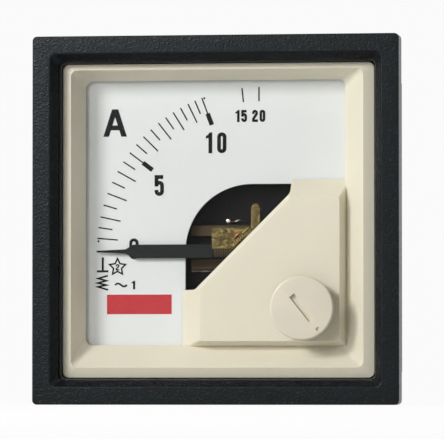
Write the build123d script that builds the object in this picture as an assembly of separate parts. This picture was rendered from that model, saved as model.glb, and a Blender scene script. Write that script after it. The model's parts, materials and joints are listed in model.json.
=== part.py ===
from build123d import *
import math
import os

# Analog panel meter, 72 mm square format, quarter scale, moving iron movement.
# Millimetres. X to the right, Z up, the front looks towards -Y.
# The origin is the middle of the panel's front face, where the flange's back rests.

# Bezel and window
front_size = 72.0
rim_width = 3.5
rim_corner = 0.9
rim_edge = 0.25
window_corner = 1.1
lip_depth = 2.1
lip_taper = 1.35
bezel_wall = 1.2
catch_width = 8.0
catch_depth = 0.6
catch_reach = 0.5

# Layers between the front of the bezel and the panel
glass_thick = 1.4
gasket_thick = 0.4
gasket_width = 3.4
flange_thick = 1.6
glass_corner = 0.8

# Body behind the panel
flange_overhang = 2.8
body_depth = 48.0
body_wall = 2.3
body_corner = 2.0
body_taper = 2.0
taper_start = 14.0
rear_wall = 2.4
rib_thick = 2.0
rib_height = 2.4
rib_offset = 14.0
clamp_slot_width = 6.0
clamp_slot_length = 2.4
clamp_slot_offset = 7.0
clamp_slot_y = 11.0
clamp_slot_depth = 1.2

# Dial and mask
dial_depth = 5.6
dial_thick = 0.6
mask_wall = 1.0
mask_corner = 1.2
mask_skirt = 6.4
mask_ridge_y = -1.5
mask_foot_gap = 0.3
mask_sill = 1.6
ridge_inset_left = 1.66
ridge_inset_right = 2.08
ridge_inset_top = 1.15
ridge_inset_bottom = 1.97
slope_left = 1.89
slope_right = 4.07
slope_top = 1.75
slope_bottom = 4.38
foot_corner = 1.6

# Pointer axis, measured from the mask's foot at the right and below
pivot_from_right = 17.29
pivot_from_bottom = 18.48

# Raised corner cover, part of the mask, measured from the pointer axis and the mask's foot
cover_front_y = 0.0
cover_reach_left = 11.02
cover_reach_top = 10.23
cover_inset_right = 0.75
cover_inset_bottom = 0.79
cover_left_bevel = 4.07
cover_top_bevel = 3.89
cover_side_bevel = 1.5
cover_cut_reach = 4.43
cover_cut_right = 6.64
cover_cut_below = 7.63
cover_cut_round = 1.5
cover_cut_bevel = 0.75

# Scale, with its marks measured inward from the outer radius
scale_margin = 2.11
scale_full_mark = 4.1
scale_half_mark = 2.8
scale_bar_start = 3.3
scale_bar_mark = 5.7
scale_line = 0.26
scale_bar_width = 0.9
print_thick = 0.05
scale_angles = {0: 0, 1: 4.7, 2: 12.3, 3: 20.9, 4: 29.4, 5: 37.2, 6: 44.6, 7: 51.7,
                8: 58.1, 9: 64.1, 10: 69.4, 15: 84.0, 20: 90.0}
opening_reach_left = 14.63
opening_reach_top = 13.23
opening_corner = 13.2
opening_side = 29.0

# Zero adjuster in the glass
adjuster_across = 9.64
adjuster_down = 11.33
adjuster_radius = 6.25
adjuster_thick = 1.15
adjuster_edge = 0.45
adjuster_shaft = 2.6
adjuster_slot_length = 6.2
adjuster_slot_width = 1.15
adjuster_slot_depth = 0.8
adjuster_slot_angle = -52.0
adjuster_mark_radius = 5.2
crank_offset = 1.3
crank_radius = 0.8
clip_radius = 4.2
clip_thick = 0.5
cover_hole_radius = 4.2

# Moving system
pointer_front_y = 4.4
pointer_thick = 0.4
pointer_short = 0.1
pointer_bar_width = 2.7
pointer_bar_start = 9.0
pointer_needle = 7.4
pointer_taper = 1.6
pointer_tip_width = 0.32
pointer_needle_width = 0.85
pointer_neck_width = 1.6
pointer_tail = 9.6
balance_arm = 8.0
balance_radius = 1.35
balance_thick = 0.45
side_balance_radius = 0.7
hub_radius = 1.5
hub_shoulder_radius = 2.4
hub_shoulder = 0.5
hub_front_gap = 0.1
spindle_radius = 0.6
spindle_short = 0.8
pivot_pin_radius = 0.3
pivot_pin_length = 0.6
iron_radius = 4.9
iron_thick = 0.5
iron_start = 2.0
iron_end = 2.7
iron_angle = 70.0
vane_tip_gap = 0.6
vane_thick = 0.3
vane_angle = 18.0

# Bridges, bearings and zero lever
bridge_front_y = 1.9
bridge_thick = 0.8
bridge_width = 5.0
bridge_reach = 11.0
bridge_pillar_radius = 2.15
bridge_screw_head_radius = 2.3
wing_reach = 8.86
wing_rise = 0.37
wing_height = 4.1
bearing_radius = 1.3
bearing_head_radius = 2.1
bearing_head = 0.6
bearing_slot = 0.4
bearing_collar_radius = 1.9
bearing_collar = 0.7
lever_thick = 0.45
lever_gap = 0.15
lever_ring = 3.3
lever_arm_width = 3.0
lever_tab_width = 1.9
lever_tab_top = 9.3
lever_tab_offset = -0.3
lever_end_margin = 1.8
spring_width = 0.12
spring_height = 0.35
spring_pitch = 0.5
spring_turns = 4
spring_peg_radius = 0.35

# Movement stack behind the dial
frame_front_y = 10.6
frame_thick = 2.4
frame_edge = 3.2
frame_hole = 4.0
frame_corner = 3.0
frame_screw_edge = 3.5
rail_thick = 1.4
rail_reach_left = 14.06
rail_length = 27.0
rail_upper_rise = 3.07
rail_upper_height = 2.2
rail_lower_drop = 3.53
rail_lower_height = 2.1
damper_depth = 4.0
damper_rim = 0.6
damper_wall = 1.0
damper_start = 17.0
damper_end = -107.0
damper_cover_thick = 0.8
coil_room_behind = 10.6
bobbin_flange_rim = 1.4
bobbin_flange = 1.4
bobbin_bore = 6.8
bobbin_core = 8.0
winding_radius = 13.6
winding_turns = 7
core_iron_thick = 0.6
core_iron_angle = 110.0
core_iron_front = 1.0
core_iron_back = 1.5
tie_clearance = 3.2
tie_radius = 1.0
tie_ear_radius = 2.6
tie_head_radius = 2.0
tie_head = 1.2
rear_bridge_thick = 1.2
rear_bridge_width = 8.0

# Screws and terminals
screw_radius = 1.4
screw_head_radius = 2.7
screw_head = 1.6
frame_screw_depth = 8.0
bridge_screw_depth = 5.0
screw_end_gap = 1.0
dial_screw_radius = 0.8
dial_screw_head_radius = 1.35
dial_screw_head = 0.9
dial_screw_length = 8.0
dial_screw_edge = 2.9
dial_screw_corner = 8.9
boss_radius = 3.0
terminal_inset = 15.2
terminal_z = -6.0
stud_radius = 2.0
stud_root_radius = 2.25
stud_root_length = 3.2
stud_free_length = 9.8
stud_head_radius = 4.0
stud_head = 3.0
washer_radius = 4.5
washer_thick = 0.8
nut_radius = 4.04
strap_thick = 0.8
strap_width = 4.0
strap_ring_radius = 4.2
strap_clearance = 2.6
barrier_height = 6.0
barrier_thick = 2.0
barrier_length = 28.0

# Clearances
glass_fit = 0.2
flange_fit = 0.1
mask_fit = 0.2
dial_fit = 0.4
shaft_fit = 0.05
pivot_fit = 0.05
turn_gap = 0.06
crank_fit = 0.06
screw_fit = 0.15
iron_fit = 0.05
stud_fit = 0.05

# Places worked out from the sizes above
bezel_depth = lip_depth + glass_thick + gasket_thick + flange_thick
bezel_front_y = -bezel_depth
glass_front_y = bezel_front_y + lip_depth
glass_back_y = glass_front_y + glass_thick
recess_size = front_size - 2 * bezel_wall
body_size = front_size - 2 * flange_overhang
glass_size = recess_size - 2 * glass_fit
flange_size = recess_size - 2 * flange_fit
cavity_size = body_size - 2 * body_wall
rear_size = body_size - 2 * body_taper
mask_size = cavity_size - 2 * mask_fit
dial_size = cavity_size - 2 * dial_fit
rear_inside_y = body_depth - rear_wall
inside_taper = body_taper * (rear_inside_y - taper_start) / (body_depth - taper_start)
dial_back_y = dial_depth + dial_thick
mask_foot_y = dial_depth - mask_foot_gap
mask_edge_y = dial_depth - mask_skirt
mask_sill_y = mask_foot_y - mask_sill
ridge_left = -mask_size / 2 + ridge_inset_left
ridge_right = mask_size / 2 - ridge_inset_right
ridge_top = mask_size / 2 - ridge_inset_top
ridge_bottom = -mask_size / 2 + ridge_inset_bottom
foot_left = ridge_left + slope_left
foot_right = ridge_right - slope_right
foot_top = ridge_top - slope_top
foot_bottom = ridge_bottom + slope_bottom
pivot_x = foot_right - pivot_from_right
pivot_z = foot_bottom + pivot_from_bottom
cover_left = pivot_x - cover_reach_left
cover_top = pivot_z + cover_reach_top
cover_right = foot_right - cover_inset_right
cover_bottom = foot_bottom + cover_inset_bottom
cover_cut_offset = pivot_x - pivot_z - cover_cut_reach
cover_cut_top_x = pivot_x + cover_cut_right
cover_cut_left_z = pivot_z - cover_cut_below
scale_radius = pivot_x - foot_left - scale_margin
pointer_reach = scale_radius - pointer_short
opening_left = pivot_x - opening_reach_left
opening_top = pivot_z + opening_reach_top
adjuster_x = pivot_x + adjuster_across
adjuster_z = pivot_z - adjuster_down
rail_left = pivot_x - rail_reach_left
rail_upper_bottom = pivot_z + rail_upper_rise
rail_lower_bottom = pivot_z - rail_lower_drop
dial_screw_side = cavity_size / 2 - dial_screw_edge
dial_screw_along = cavity_size / 2 - dial_screw_corner
terminal_side = body_size / 2 - terminal_inset
bridge_back_y = bridge_front_y + bridge_thick
collar_end_y = bridge_back_y + bearing_collar
hub_front_y = collar_end_y + hub_front_gap
pointer_back_y = pointer_front_y + pointer_thick
lever_front_y = bridge_back_y + lever_gap
lever_back_y = lever_front_y + lever_thick
tie_offset = winding_radius + tie_clearance
frame_half = tie_offset + frame_edge
frame_screw_offset = frame_half - frame_screw_edge
frame_back_y = frame_front_y + frame_thick
damper_back_y = frame_back_y + damper_depth
damper_radius = winding_radius + damper_rim
vane_radius = damper_radius - damper_wall - vane_tip_gap
bobbin_front_y = damper_back_y + damper_cover_thick
bobbin_back_y = rear_inside_y - coil_room_behind
bobbin_length = bobbin_back_y - bobbin_front_y
bobbin_flange_radius = winding_radius + bobbin_flange_rim
rear_bridge_back_y = bobbin_back_y + rear_bridge_thick
spindle_front_y = collar_end_y + turn_gap
spindle_back_y = bobbin_back_y - spindle_short
lever_length = math.hypot(adjuster_x - pivot_x, adjuster_z - pivot_z)
lever_angle = math.degrees(math.atan2(adjuster_z - pivot_z, adjuster_x - pivot_x))
stud_head_y = rear_inside_y - strap_thick - stud_head


def face_plane(y):
    """Plane across the meter at depth y, seen from the front: X right, Z up."""
    return Plane(origin=(0, y, 0), x_dir=(1, 0, 0), z_dir=(0, -1, 0))


def plate(sketch, front, back):
    """A flat outline in X and Z made solid between two depths."""
    return extrude(face_plane(back) * sketch, amount=back - front)


def disc(x, z, radius, front, back):
    return plate(Pos(x, z) * Circle(radius), front, back)


def block(left, right, bottom, top, front, back):
    width = right - left
    height = top - bottom
    return plate(Pos(left + width / 2, bottom + height / 2) * Rectangle(width, height), front, back)


def square(size, corner, front, back):
    return plate(RectangleRounded(size, size, corner), front, back)


def rounded(left, right, bottom, top, corner):
    """Rounded rectangle outline between four limits."""
    width = right - left
    height = top - bottom
    return Pos(left + width / 2, bottom + height / 2) * RectangleRounded(width, height, corner)


def tapered(front_outline, front, back_outline, back):
    """Solid that blends from one outline to another across the depth."""
    return loft([face_plane(front) * front_outline, face_plane(back) * back_outline])


def sector(x, z, radius, start, end, front, back):
    """Slice of a disc between two angles, measured from +X towards +Z."""
    reach = radius * 2
    steps = 6
    points = [(x, z)]
    for i in range(steps + 1):
        angle = math.radians(start + (end - start) * i / steps)
        points.append((x + reach * math.cos(angle), z + reach * math.sin(angle)))
    wedge = make_face(Polyline(*points, close=True))
    return plate(wedge & (Pos(x, z) * Circle(radius)), front, back)


def bar(x, z, angle, start, end, width, front, back):
    """Straight bar that points away from (x, z) at an angle from +X towards +Z."""
    length = end - start
    return plate(Pos(x, z) * Rot(0, 0, angle) * Pos(start + length / 2, 0) * Rectangle(length, width),
                 front, back)


def dial_screw_places():
    return [(dial_screw_side, dial_screw_along), (-dial_screw_along, -dial_screw_side)]


def frame_screw_places():
    signs = [(1, 1), (1, -1), (-1, 1), (-1, -1)]
    return [(pivot_x + sx * frame_screw_offset, pivot_z + sz * frame_screw_offset) for sx, sz in signs]


def tie_places():
    return [(pivot_x, pivot_z + tie_offset), (pivot_x, pivot_z - tie_offset)]


def bridge_places():
    step = bridge_reach * math.cos(math.pi / 4)
    return [(pivot_x + step, pivot_z + step), (pivot_x - step, pivot_z - step)]


def terminal_places():
    return {"left": (-terminal_side, terminal_z), "right": (terminal_side, terminal_z)}


def pan_screw(x, z, radius, head_radius, head, front, back):
    """Slotted pan head screw with its head towards the front; front is the seat of the head."""
    screw = disc(x, z, head_radius, front - head, front) + disc(x, z, radius, front, back)
    slot = block(x - head_radius, x + head_radius, z - radius / 4, z + radius / 4,
                 front - head, front - head / 2)
    return screw - slot


def make_bezel():
    body = square(front_size, rim_corner, bezel_front_y, 0)
    body = fillet(body.faces().sort_by(Axis.Y)[0].edges(), rim_edge)
    opening = front_size - 2 * rim_width
    window = tapered(RectangleRounded(opening, opening, window_corner), bezel_front_y,
                     RectangleRounded(opening - 2 * lip_taper, opening - 2 * lip_taper, window_corner),
                     glass_front_y)
    body = body - window - square(recess_size, rim_corner / 2, glass_front_y, 0)
    for turn in range(4):
        edge = recess_size / 2
        catch = block(-catch_width / 2, catch_width / 2, edge - catch_reach, edge + bezel_wall / 2,
                      -catch_depth, 0)
        body = body + Rot(0, 90 * turn, 0) * catch
    return body


def make_front_glass():
    glass = square(glass_size, glass_corner, glass_front_y, glass_back_y)
    return glass - disc(adjuster_x, adjuster_z, adjuster_shaft + shaft_fit, glass_front_y, glass_back_y)


def make_glass_gasket():
    opening = glass_size - 2 * gasket_width
    ring = square(glass_size, glass_corner, glass_back_y, -flange_thick)
    return ring - square(opening, glass_corner, glass_back_y, -flange_thick)


def narrowing_box(size, rear, corner, front, back):
    """Square box, straight as far as the clamps, that narrows from there to the back."""
    box = square(size, corner, front, taper_start)
    return box + tapered(RectangleRounded(size, size, corner), taper_start,
                         RectangleRounded(rear, rear, corner), back)


def make_rear_housing():
    outside = narrowing_box(body_size, rear_size, body_corner, 0, body_depth)
    body = square(flange_size, rim_corner / 2, -flange_thick, 0) + outside
    body = body - narrowing_box(cavity_size, cavity_size - 2 * inside_taper, rim_corner,
                                -flange_thick, rear_inside_y)
    inner = cavity_size / 2
    for turn in range(4):
        side = Rot(0, 90 * turn, 0)
        for offset in (-rib_offset, rib_offset):
            rib = block(offset - rib_thick / 2, offset + rib_thick / 2, inner - rib_height,
                        inner + body_wall / 2, dial_back_y, rear_inside_y)
            body = body + (side * rib & outside)
        edge = flange_size / 2
        notch = block(-catch_width / 2 - glass_fit, catch_width / 2 + glass_fit,
                      edge - catch_reach - glass_fit, edge + bezel_wall, -catch_depth - glass_fit, 0)
        body = body - side * notch
    for x, z in dial_screw_places():
        body = body + disc(x, z, boss_radius, dial_back_y, rear_inside_y)
        body = body - disc(x, z, dial_screw_radius, dial_back_y, dial_back_y + dial_screw_length)
    for x, z in frame_screw_places():
        body = body + disc(x, z, boss_radius, frame_back_y, rear_inside_y)
        body = body - disc(x, z, screw_radius, frame_back_y, frame_back_y + frame_screw_depth)
    for x, z in terminal_places().values():
        body = body - disc(x, z, stud_root_radius + stud_fit, rear_inside_y, body_depth)
    body = body + block(-barrier_thick / 2, barrier_thick / 2, terminal_z - barrier_length / 2,
                        terminal_z + barrier_length / 2, body_depth, body_depth + barrier_height)
    for side in (-1, 1):
        for offset in (-clamp_slot_offset, clamp_slot_offset):
            slot = Box(2 * clamp_slot_depth, clamp_slot_length, clamp_slot_width)
            body = body - Pos(side * body_size / 2, clamp_slot_y, offset) * slot
    return body


def cover_outline(inset):
    """Plan of the corner cover, with its slanting edge moved in by inset."""
    shift = inset * math.sqrt(2)
    line = cover_cut_offset + shift
    top_x = cover_cut_top_x + inset
    left_z = cover_cut_left_z - inset
    far = mask_size
    points = [(top_x, far), (top_x, top_x - line), (left_z + line, left_z), (-far, left_z),
              (-far, -far), (far, -far), (far, far)]
    outline = make_face(Polyline(*points, close=True))
    corners = [(top_x, top_x - line, 0), (left_z + line, left_z, 0)]
    for corner in corners:
        outline = fillet(outline.vertices().sort_by_distance(corner)[0], cover_cut_round)
    return outline


def make_corner_cover():
    foot_l = cover_left - cover_left_bevel
    foot_t = cover_top + cover_top_bevel
    foot_r = cover_right + cover_side_bevel
    foot_b = cover_bottom - cover_side_bevel
    corner = mask_wall / 2
    outer = tapered(rounded(cover_left, cover_right, cover_bottom, cover_top, corner), cover_front_y,
                    rounded(foot_l, foot_r, foot_b, foot_t, corner), mask_foot_y)
    wall = mask_wall
    inner = tapered(rounded(cover_left + wall / 2, cover_right - wall, cover_bottom + wall,
                            cover_top - wall / 2, corner / 2), cover_front_y + wall,
                    rounded(foot_l + wall, foot_r - wall, foot_b + wall, foot_t - wall, corner / 2),
                    mask_foot_y)
    shell = outer - inner
    edge_y = cover_front_y + cover_cut_bevel
    keep = plate(cover_outline(0), edge_y, mask_foot_y)
    keep = keep + tapered(cover_outline(cover_cut_bevel), cover_front_y, cover_outline(0), edge_y)
    return (shell & keep) - disc(adjuster_x, adjuster_z, cover_hole_radius, cover_front_y, mask_foot_y)


def make_dial_mask():
    half = mask_size / 2
    wall = mask_wall
    ridge = rounded(ridge_left, ridge_right, ridge_bottom, ridge_top, mask_corner)
    outer = tapered(ridge, mask_ridge_y, rounded(-half, half, -half, half, mask_corner), mask_edge_y)
    outer = outer + square(mask_size, mask_corner, mask_edge_y, dial_depth)
    foot = rounded(foot_left, foot_right, foot_bottom, foot_top, foot_corner)
    foot_outside = rounded(foot_left - wall, foot_right + wall, foot_bottom - wall, foot_top + wall,
                           foot_corner)
    window = tapered(ridge, mask_ridge_y, foot, mask_sill_y) + plate(foot, mask_sill_y, mask_foot_y)
    frame = outer - window - plate(foot_outside, mask_foot_y, dial_depth)
    inside = half - wall
    hollow = tapered(rounded(ridge_left + wall / 2, ridge_right - wall / 2, ridge_bottom + wall / 2,
                             ridge_top - wall / 2, mask_corner / 2), mask_ridge_y + wall,
                     rounded(-inside, inside, -inside, inside, mask_corner / 2), mask_edge_y + wall)
    hollow = hollow + square(2 * inside, mask_corner / 2, mask_edge_y + wall, dial_depth)
    ridge_outside = rounded(ridge_left - wall, ridge_right + wall, ridge_bottom - wall,
                            ridge_top + wall, mask_corner)
    hollow = hollow - tapered(ridge_outside, mask_ridge_y, foot_outside, mask_sill_y)
    hollow = hollow - plate(foot_outside, mask_sill_y, mask_foot_y)
    return frame - hollow + make_corner_cover()


def make_dial_plate():
    opening = rounded(opening_left, opening_left + opening_side, opening_top - opening_side,
                      opening_top, mask_wall)
    corner = Pos(opening_left + opening_corner / 2, opening_top - opening_corner / 2)
    opening = opening - corner * Rectangle(opening_corner, opening_corner)
    round_part = Pos(opening_left + opening_corner, opening_top - opening_corner) * Circle(opening_corner)
    opening = opening + (round_part & (corner * Rectangle(opening_corner, opening_corner)))
    dial = square(dial_size, mask_corner, dial_depth, dial_back_y)
    dial = dial - plate(opening, dial_depth, dial_back_y)
    for x, z in dial_screw_places():
        dial = dial - disc(x, z, dial_screw_radius + screw_fit, dial_depth, dial_back_y)
    return dial


def scale_mark(angle, inner, outer, width):
    """Printed line between two distances inward from the scale's outer radius."""
    return bar(pivot_x, pivot_z, 180 - angle, scale_radius - inner, scale_radius - outer, width,
               dial_depth - print_thick, dial_depth)


def make_scale_print():
    marks = []
    values = list(scale_angles)
    for value, following in zip(values, values[1:] + [None]):
        angle = scale_angles[value]
        plain = value > 10
        mark = scale_half_mark if plain else scale_full_mark
        if value in (5, 10):
            mark = scale_bar_start
            marks.append(scale_mark(angle, scale_bar_mark, scale_bar_start, scale_bar_width))
        marks.append(scale_mark(angle, mark, 0, scale_line))
        if following is not None and 0 < value < 10:
            middle = (angle + scale_angles[following]) / 2
            marks.append(scale_mark(middle, scale_half_mark, 0, scale_line))
    return Compound(children=marks)


def make_dial_screws():
    screws = [pan_screw(x, z, dial_screw_radius, dial_screw_head_radius, dial_screw_head, dial_depth,
                        dial_back_y + dial_screw_length - screw_end_gap) for x, z in dial_screw_places()]
    return Compound(children=screws)


def crank_place():
    angle = math.radians(lever_angle)
    return adjuster_x - crank_offset * math.cos(angle), adjuster_z - crank_offset * math.sin(angle)


def make_zero_adjuster():
    back = glass_front_y - turn_gap
    front = back - adjuster_thick
    head = disc(adjuster_x, adjuster_z, adjuster_radius, front, back)
    head = fillet(head.faces().sort_by(Axis.Y)[0].edges(), adjuster_edge)
    slot = bar(adjuster_x, adjuster_z, adjuster_slot_angle, -adjuster_slot_length / 2,
               adjuster_slot_length / 2, adjuster_slot_width, front, front + adjuster_slot_depth)
    turn = math.radians(adjuster_slot_angle)
    mark = disc(adjuster_x + adjuster_mark_radius * math.cos(turn),
                adjuster_z + adjuster_mark_radius * math.sin(turn), adjuster_slot_width / 3,
                front, front + adjuster_edge)
    shaft = disc(adjuster_x, adjuster_z, adjuster_shaft, back, cover_front_y)
    x, z = crank_place()
    crank = disc(x, z, crank_radius, cover_front_y, lever_back_y)
    return head - slot - mark + shaft + crank


def make_adjuster_clip():
    front = glass_back_y + turn_gap
    ring = disc(adjuster_x, adjuster_z, clip_radius, front, front + clip_thick)
    return ring - disc(adjuster_x, adjuster_z, adjuster_shaft, front, front + clip_thick)


def make_zero_lever():
    ring = disc(pivot_x, pivot_z, lever_ring, lever_front_y, lever_back_y)
    arm = bar(pivot_x, pivot_z, lever_angle, 0, lever_length - crank_offset + lever_end_margin,
              lever_arm_width, lever_front_y, lever_back_y)
    slot = bar(pivot_x, pivot_z, lever_angle, lever_length - crank_offset - lever_end_margin,
               lever_length + lever_end_margin, 2 * (crank_radius + crank_fit),
               lever_front_y, lever_back_y)
    half = lever_tab_width / 2
    middle = pivot_x + lever_tab_offset
    top = pivot_z + lever_tab_top
    tab = plate(make_face(Polyline((middle - half, pivot_z), (middle - half, top - half),
                                   (middle - half / 2, top), (middle + half / 2, top),
                                   (middle + half, top - half), (middle + half, pivot_z),
                                   close=True)), lever_front_y, lever_back_y)
    peg_x, peg_z = spring_end()
    peg = disc(peg_x, peg_z, spring_peg_radius, lever_back_y, hub_front_y + spring_height)
    ear = disc(peg_x, peg_z, 2 * spring_peg_radius, lever_front_y, lever_back_y)
    ear = ear + block(pivot_x, peg_x, peg_z - 2 * spring_peg_radius, peg_z + 2 * spring_peg_radius,
                      lever_front_y, lever_back_y)
    bore = disc(pivot_x, pivot_z, bearing_collar_radius + shaft_fit, lever_front_y, lever_back_y)
    return ring + arm + tab + ear + peg - slot - bore


def spring_end():
    """Place of the lever's peg, just outside the spring's last half turn."""
    outer = hub_radius + spring_pitch * spring_turns
    return pivot_x + outer + spring_width + spring_peg_radius + turn_gap, pivot_z


def make_hairspring():
    """Flat spiral made of half rings whose centres alternate by half a pitch."""
    back = hub_front_y + spring_height
    step = spring_pitch / 2
    spring = None
    for i in range(2 * spring_turns):
        radius = hub_radius + spring_width / 2 + step / 2 + step * i
        side = 1 if i % 2 == 0 else -1
        shift = -step / 2 if i % 2 == 0 else step / 2
        centre = Pos(pivot_x + shift, pivot_z)
        half = Pos(pivot_x, pivot_z + side * radius) * Rectangle(4 * radius, 2 * radius)
        ring = (centre * Circle(radius + spring_width / 2)) - (centre * Circle(radius - spring_width / 2))
        piece = plate(ring & half, hub_front_y, back)
        spring = piece if spring is None else spring + piece
    return spring


def make_pointer():
    half_tip = pointer_tip_width / 2
    half_needle = pointer_needle_width / 2
    half_bar = pointer_bar_width / 2
    half_neck = pointer_neck_width / 2
    bar_tip = pivot_x - pointer_reach + pointer_needle
    bar_root = pivot_x - pointer_bar_start
    tip = pivot_x - pointer_reach
    tail = pivot_x + pointer_tail
    points = [(tip, half_tip), (bar_tip - pointer_taper, half_needle), (bar_tip, half_bar),
              (bar_root, half_bar), (bar_root, half_neck), (tail, half_neck)]
    lower = [(x, -z) for x, z in reversed(points)]
    outline = Pos(0, pivot_z) * make_face(Polyline(*points, *lower, close=True))
    arm = plate(outline, pointer_front_y, pointer_back_y)
    arm = arm + disc(pivot_x, pivot_z, hub_shoulder_radius + pointer_thick, pointer_front_y, pointer_back_y)
    arm = arm + bar(pivot_x, pivot_z, -90, 0, balance_arm, pointer_neck_width,
                    pointer_front_y, pointer_back_y)
    return arm - disc(pivot_x, pivot_z, hub_radius, pointer_front_y, pointer_back_y)


def make_pointer_hub():
    hub = disc(pivot_x, pivot_z, hub_radius, hub_front_y, pointer_back_y)
    hub = hub + disc(pivot_x, pivot_z, hub_shoulder_radius, pointer_back_y, pointer_back_y + hub_shoulder)
    return hub - disc(pivot_x, pivot_z, spindle_radius, hub_front_y, pointer_back_y + hub_shoulder)


def make_balance_weights():
    """Two small weights clipped behind the tail and behind the side arm."""
    back = pointer_back_y + balance_thick
    tail_weight = disc(pivot_x + pointer_tail - balance_radius, pivot_z, balance_radius,
                       pointer_back_y, back + balance_thick)
    side_weight = disc(pivot_x, pivot_z - balance_arm + side_balance_radius, side_balance_radius,
                       pointer_back_y, back)
    return Compound(children=[tail_weight, side_weight])


def make_spindle():
    rod = disc(pivot_x, pivot_z, spindle_radius, spindle_front_y, spindle_back_y)
    front_pin = disc(pivot_x, pivot_z, pivot_pin_radius, spindle_front_y - pivot_pin_length, spindle_front_y)
    rear_pin = disc(pivot_x, pivot_z, pivot_pin_radius, spindle_back_y, spindle_back_y + pivot_pin_length)
    return rod + front_pin + rear_pin


def make_moving_iron():
    """Soft iron strip, rolled to a part cylinder and carried by a thin web on the spindle."""
    front = bobbin_front_y + iron_start
    back = bobbin_back_y - iron_end
    start = 180 - iron_angle / 2
    end = 180 + iron_angle / 2
    strip = sector(pivot_x, pivot_z, iron_radius, start, end, front, back)
    strip = strip - disc(pivot_x, pivot_z, iron_radius - iron_thick, front + iron_thick, back)
    strip = strip + disc(pivot_x, pivot_z, hub_radius, front, front + 2 * iron_thick)
    return strip - disc(pivot_x, pivot_z, spindle_radius, front, back)


def make_damping_vane():
    middle = (frame_back_y + damper_back_y) / 2
    front = middle - vane_thick / 2
    back = middle + vane_thick / 2
    vane = sector(pivot_x, pivot_z, vane_radius, -vane_angle / 2, vane_angle / 2, front, back)
    hub = disc(pivot_x, pivot_z, hub_radius, middle - 2 * vane_thick, middle + 2 * vane_thick)
    return vane + hub - disc(pivot_x, pivot_z, spindle_radius, frame_back_y, damper_back_y)


def make_front_bridge():
    """Brass bearing strip in front of the pointer, with a short wing on the left."""
    strip = bar(pivot_x, pivot_z, 45, -bridge_reach, bridge_reach, bridge_width,
                bridge_front_y, bridge_back_y)
    for x, z in bridge_places():
        strip = strip + disc(x, z, bridge_width / 2, bridge_front_y, bridge_back_y)
    strip = strip + block(pivot_x - wing_reach, pivot_x, pivot_z + wing_rise,
                          pivot_z + wing_rise + wing_height, bridge_front_y, bridge_back_y)
    for x, z in bridge_places():
        strip = strip - disc(x, z, screw_radius + screw_fit, bridge_front_y, bridge_back_y)
    return strip - disc(pivot_x, pivot_z, bearing_radius, bridge_front_y, bridge_back_y)


def make_bridge_pillars():
    pillars = []
    for x, z in bridge_places():
        pillar = disc(x, z, bridge_pillar_radius, bridge_back_y, frame_front_y)
        pillars.append(pillar - disc(x, z, screw_radius, bridge_back_y,
                                    bridge_back_y + bridge_screw_depth))
    return Compound(children=pillars)


def make_bridge_screws():
    screws = [pan_screw(x, z, screw_radius, bridge_screw_head_radius, bearing_head, bridge_front_y,
                        bridge_back_y + bridge_screw_depth - screw_end_gap) for x, z in bridge_places()]
    return Compound(children=screws)


def make_front_bearing():
    """Screw with a cup for the front pivot and a collar that the zero lever turns on."""
    head = disc(pivot_x, pivot_z, bearing_head_radius, bridge_front_y - bearing_head, bridge_front_y)
    head = head - block(pivot_x - bearing_head_radius, pivot_x + bearing_head_radius,
                        pivot_z - bearing_slot / 2, pivot_z + bearing_slot / 2, bridge_front_y - bearing_head,
                        bridge_front_y - bearing_head / 2)
    shank = disc(pivot_x, pivot_z, bearing_radius, bridge_front_y, bridge_back_y)
    collar = disc(pivot_x, pivot_z, bearing_collar_radius, bridge_back_y, collar_end_y)
    cup = disc(pivot_x, pivot_z, pivot_pin_radius + pivot_fit,
               spindle_front_y - pivot_pin_length - turn_gap, collar_end_y)
    return head + shank + collar - cup


def make_rear_bearing():
    front = spindle_back_y + turn_gap
    screw = disc(pivot_x, pivot_z, bearing_radius, front, rear_bridge_back_y)
    head = disc(pivot_x, pivot_z, bearing_head_radius, rear_bridge_back_y,
                rear_bridge_back_y + bearing_head)
    cup = disc(pivot_x, pivot_z, pivot_pin_radius + pivot_fit, front,
               spindle_back_y + pivot_pin_length + turn_gap)
    return screw + head - cup


def make_rear_bridge():
    strip = block(pivot_x - rear_bridge_width / 2, pivot_x + rear_bridge_width / 2,
                  pivot_z - tie_offset - tie_ear_radius, pivot_z + tie_offset + tie_ear_radius,
                  bobbin_back_y, rear_bridge_back_y)
    for x, z in tie_places():
        strip = strip - disc(x, z, tie_radius, bobbin_back_y, rear_bridge_back_y)
    return strip - disc(pivot_x, pivot_z, bearing_radius, bobbin_back_y, rear_bridge_back_y)


def make_tie_screws():
    """Two long screws that clamp the bobbin, the damper and the frame between the bridges."""
    ties = []
    for x, z in tie_places():
        rod = disc(x, z, tie_radius, frame_front_y, rear_bridge_back_y)
        ties.append(rod + disc(x, z, tie_head_radius, rear_bridge_back_y, rear_bridge_back_y + tie_head))
    return Compound(children=ties)


def with_tie_holes(piece, front, back):
    for x, z in tie_places():
        piece = piece - disc(x, z, tie_radius, front, back)
    return piece


def tie_ears(front, back):
    """Vertical strap whose round ends take the two long screws."""
    ears = block(pivot_x - tie_ear_radius, pivot_x + tie_ear_radius, pivot_z - tie_offset,
                 pivot_z + tie_offset, front, back)
    for x, z in tie_places():
        ears = ears + disc(x, z, tie_ear_radius, front, back)
    return ears


def make_movement_frame():
    outline = rounded(pivot_x - frame_half, pivot_x + frame_half, pivot_z - frame_half,
                      pivot_z + frame_half, frame_corner)
    frame = plate(outline, frame_front_y, frame_back_y)
    frame = frame - disc(pivot_x, pivot_z, frame_hole, frame_front_y, frame_back_y)
    for x, z in frame_screw_places():
        frame = frame - disc(x, z, screw_radius + screw_fit, frame_front_y, frame_back_y)
    return with_tie_holes(frame, frame_front_y, frame_back_y)


def make_frame_screws():
    screws = [pan_screw(x, z, screw_radius, screw_head_radius, screw_head, frame_front_y,
                        frame_back_y + frame_screw_depth - screw_end_gap) for x, z in frame_screw_places()]
    return Compound(children=screws)


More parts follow.
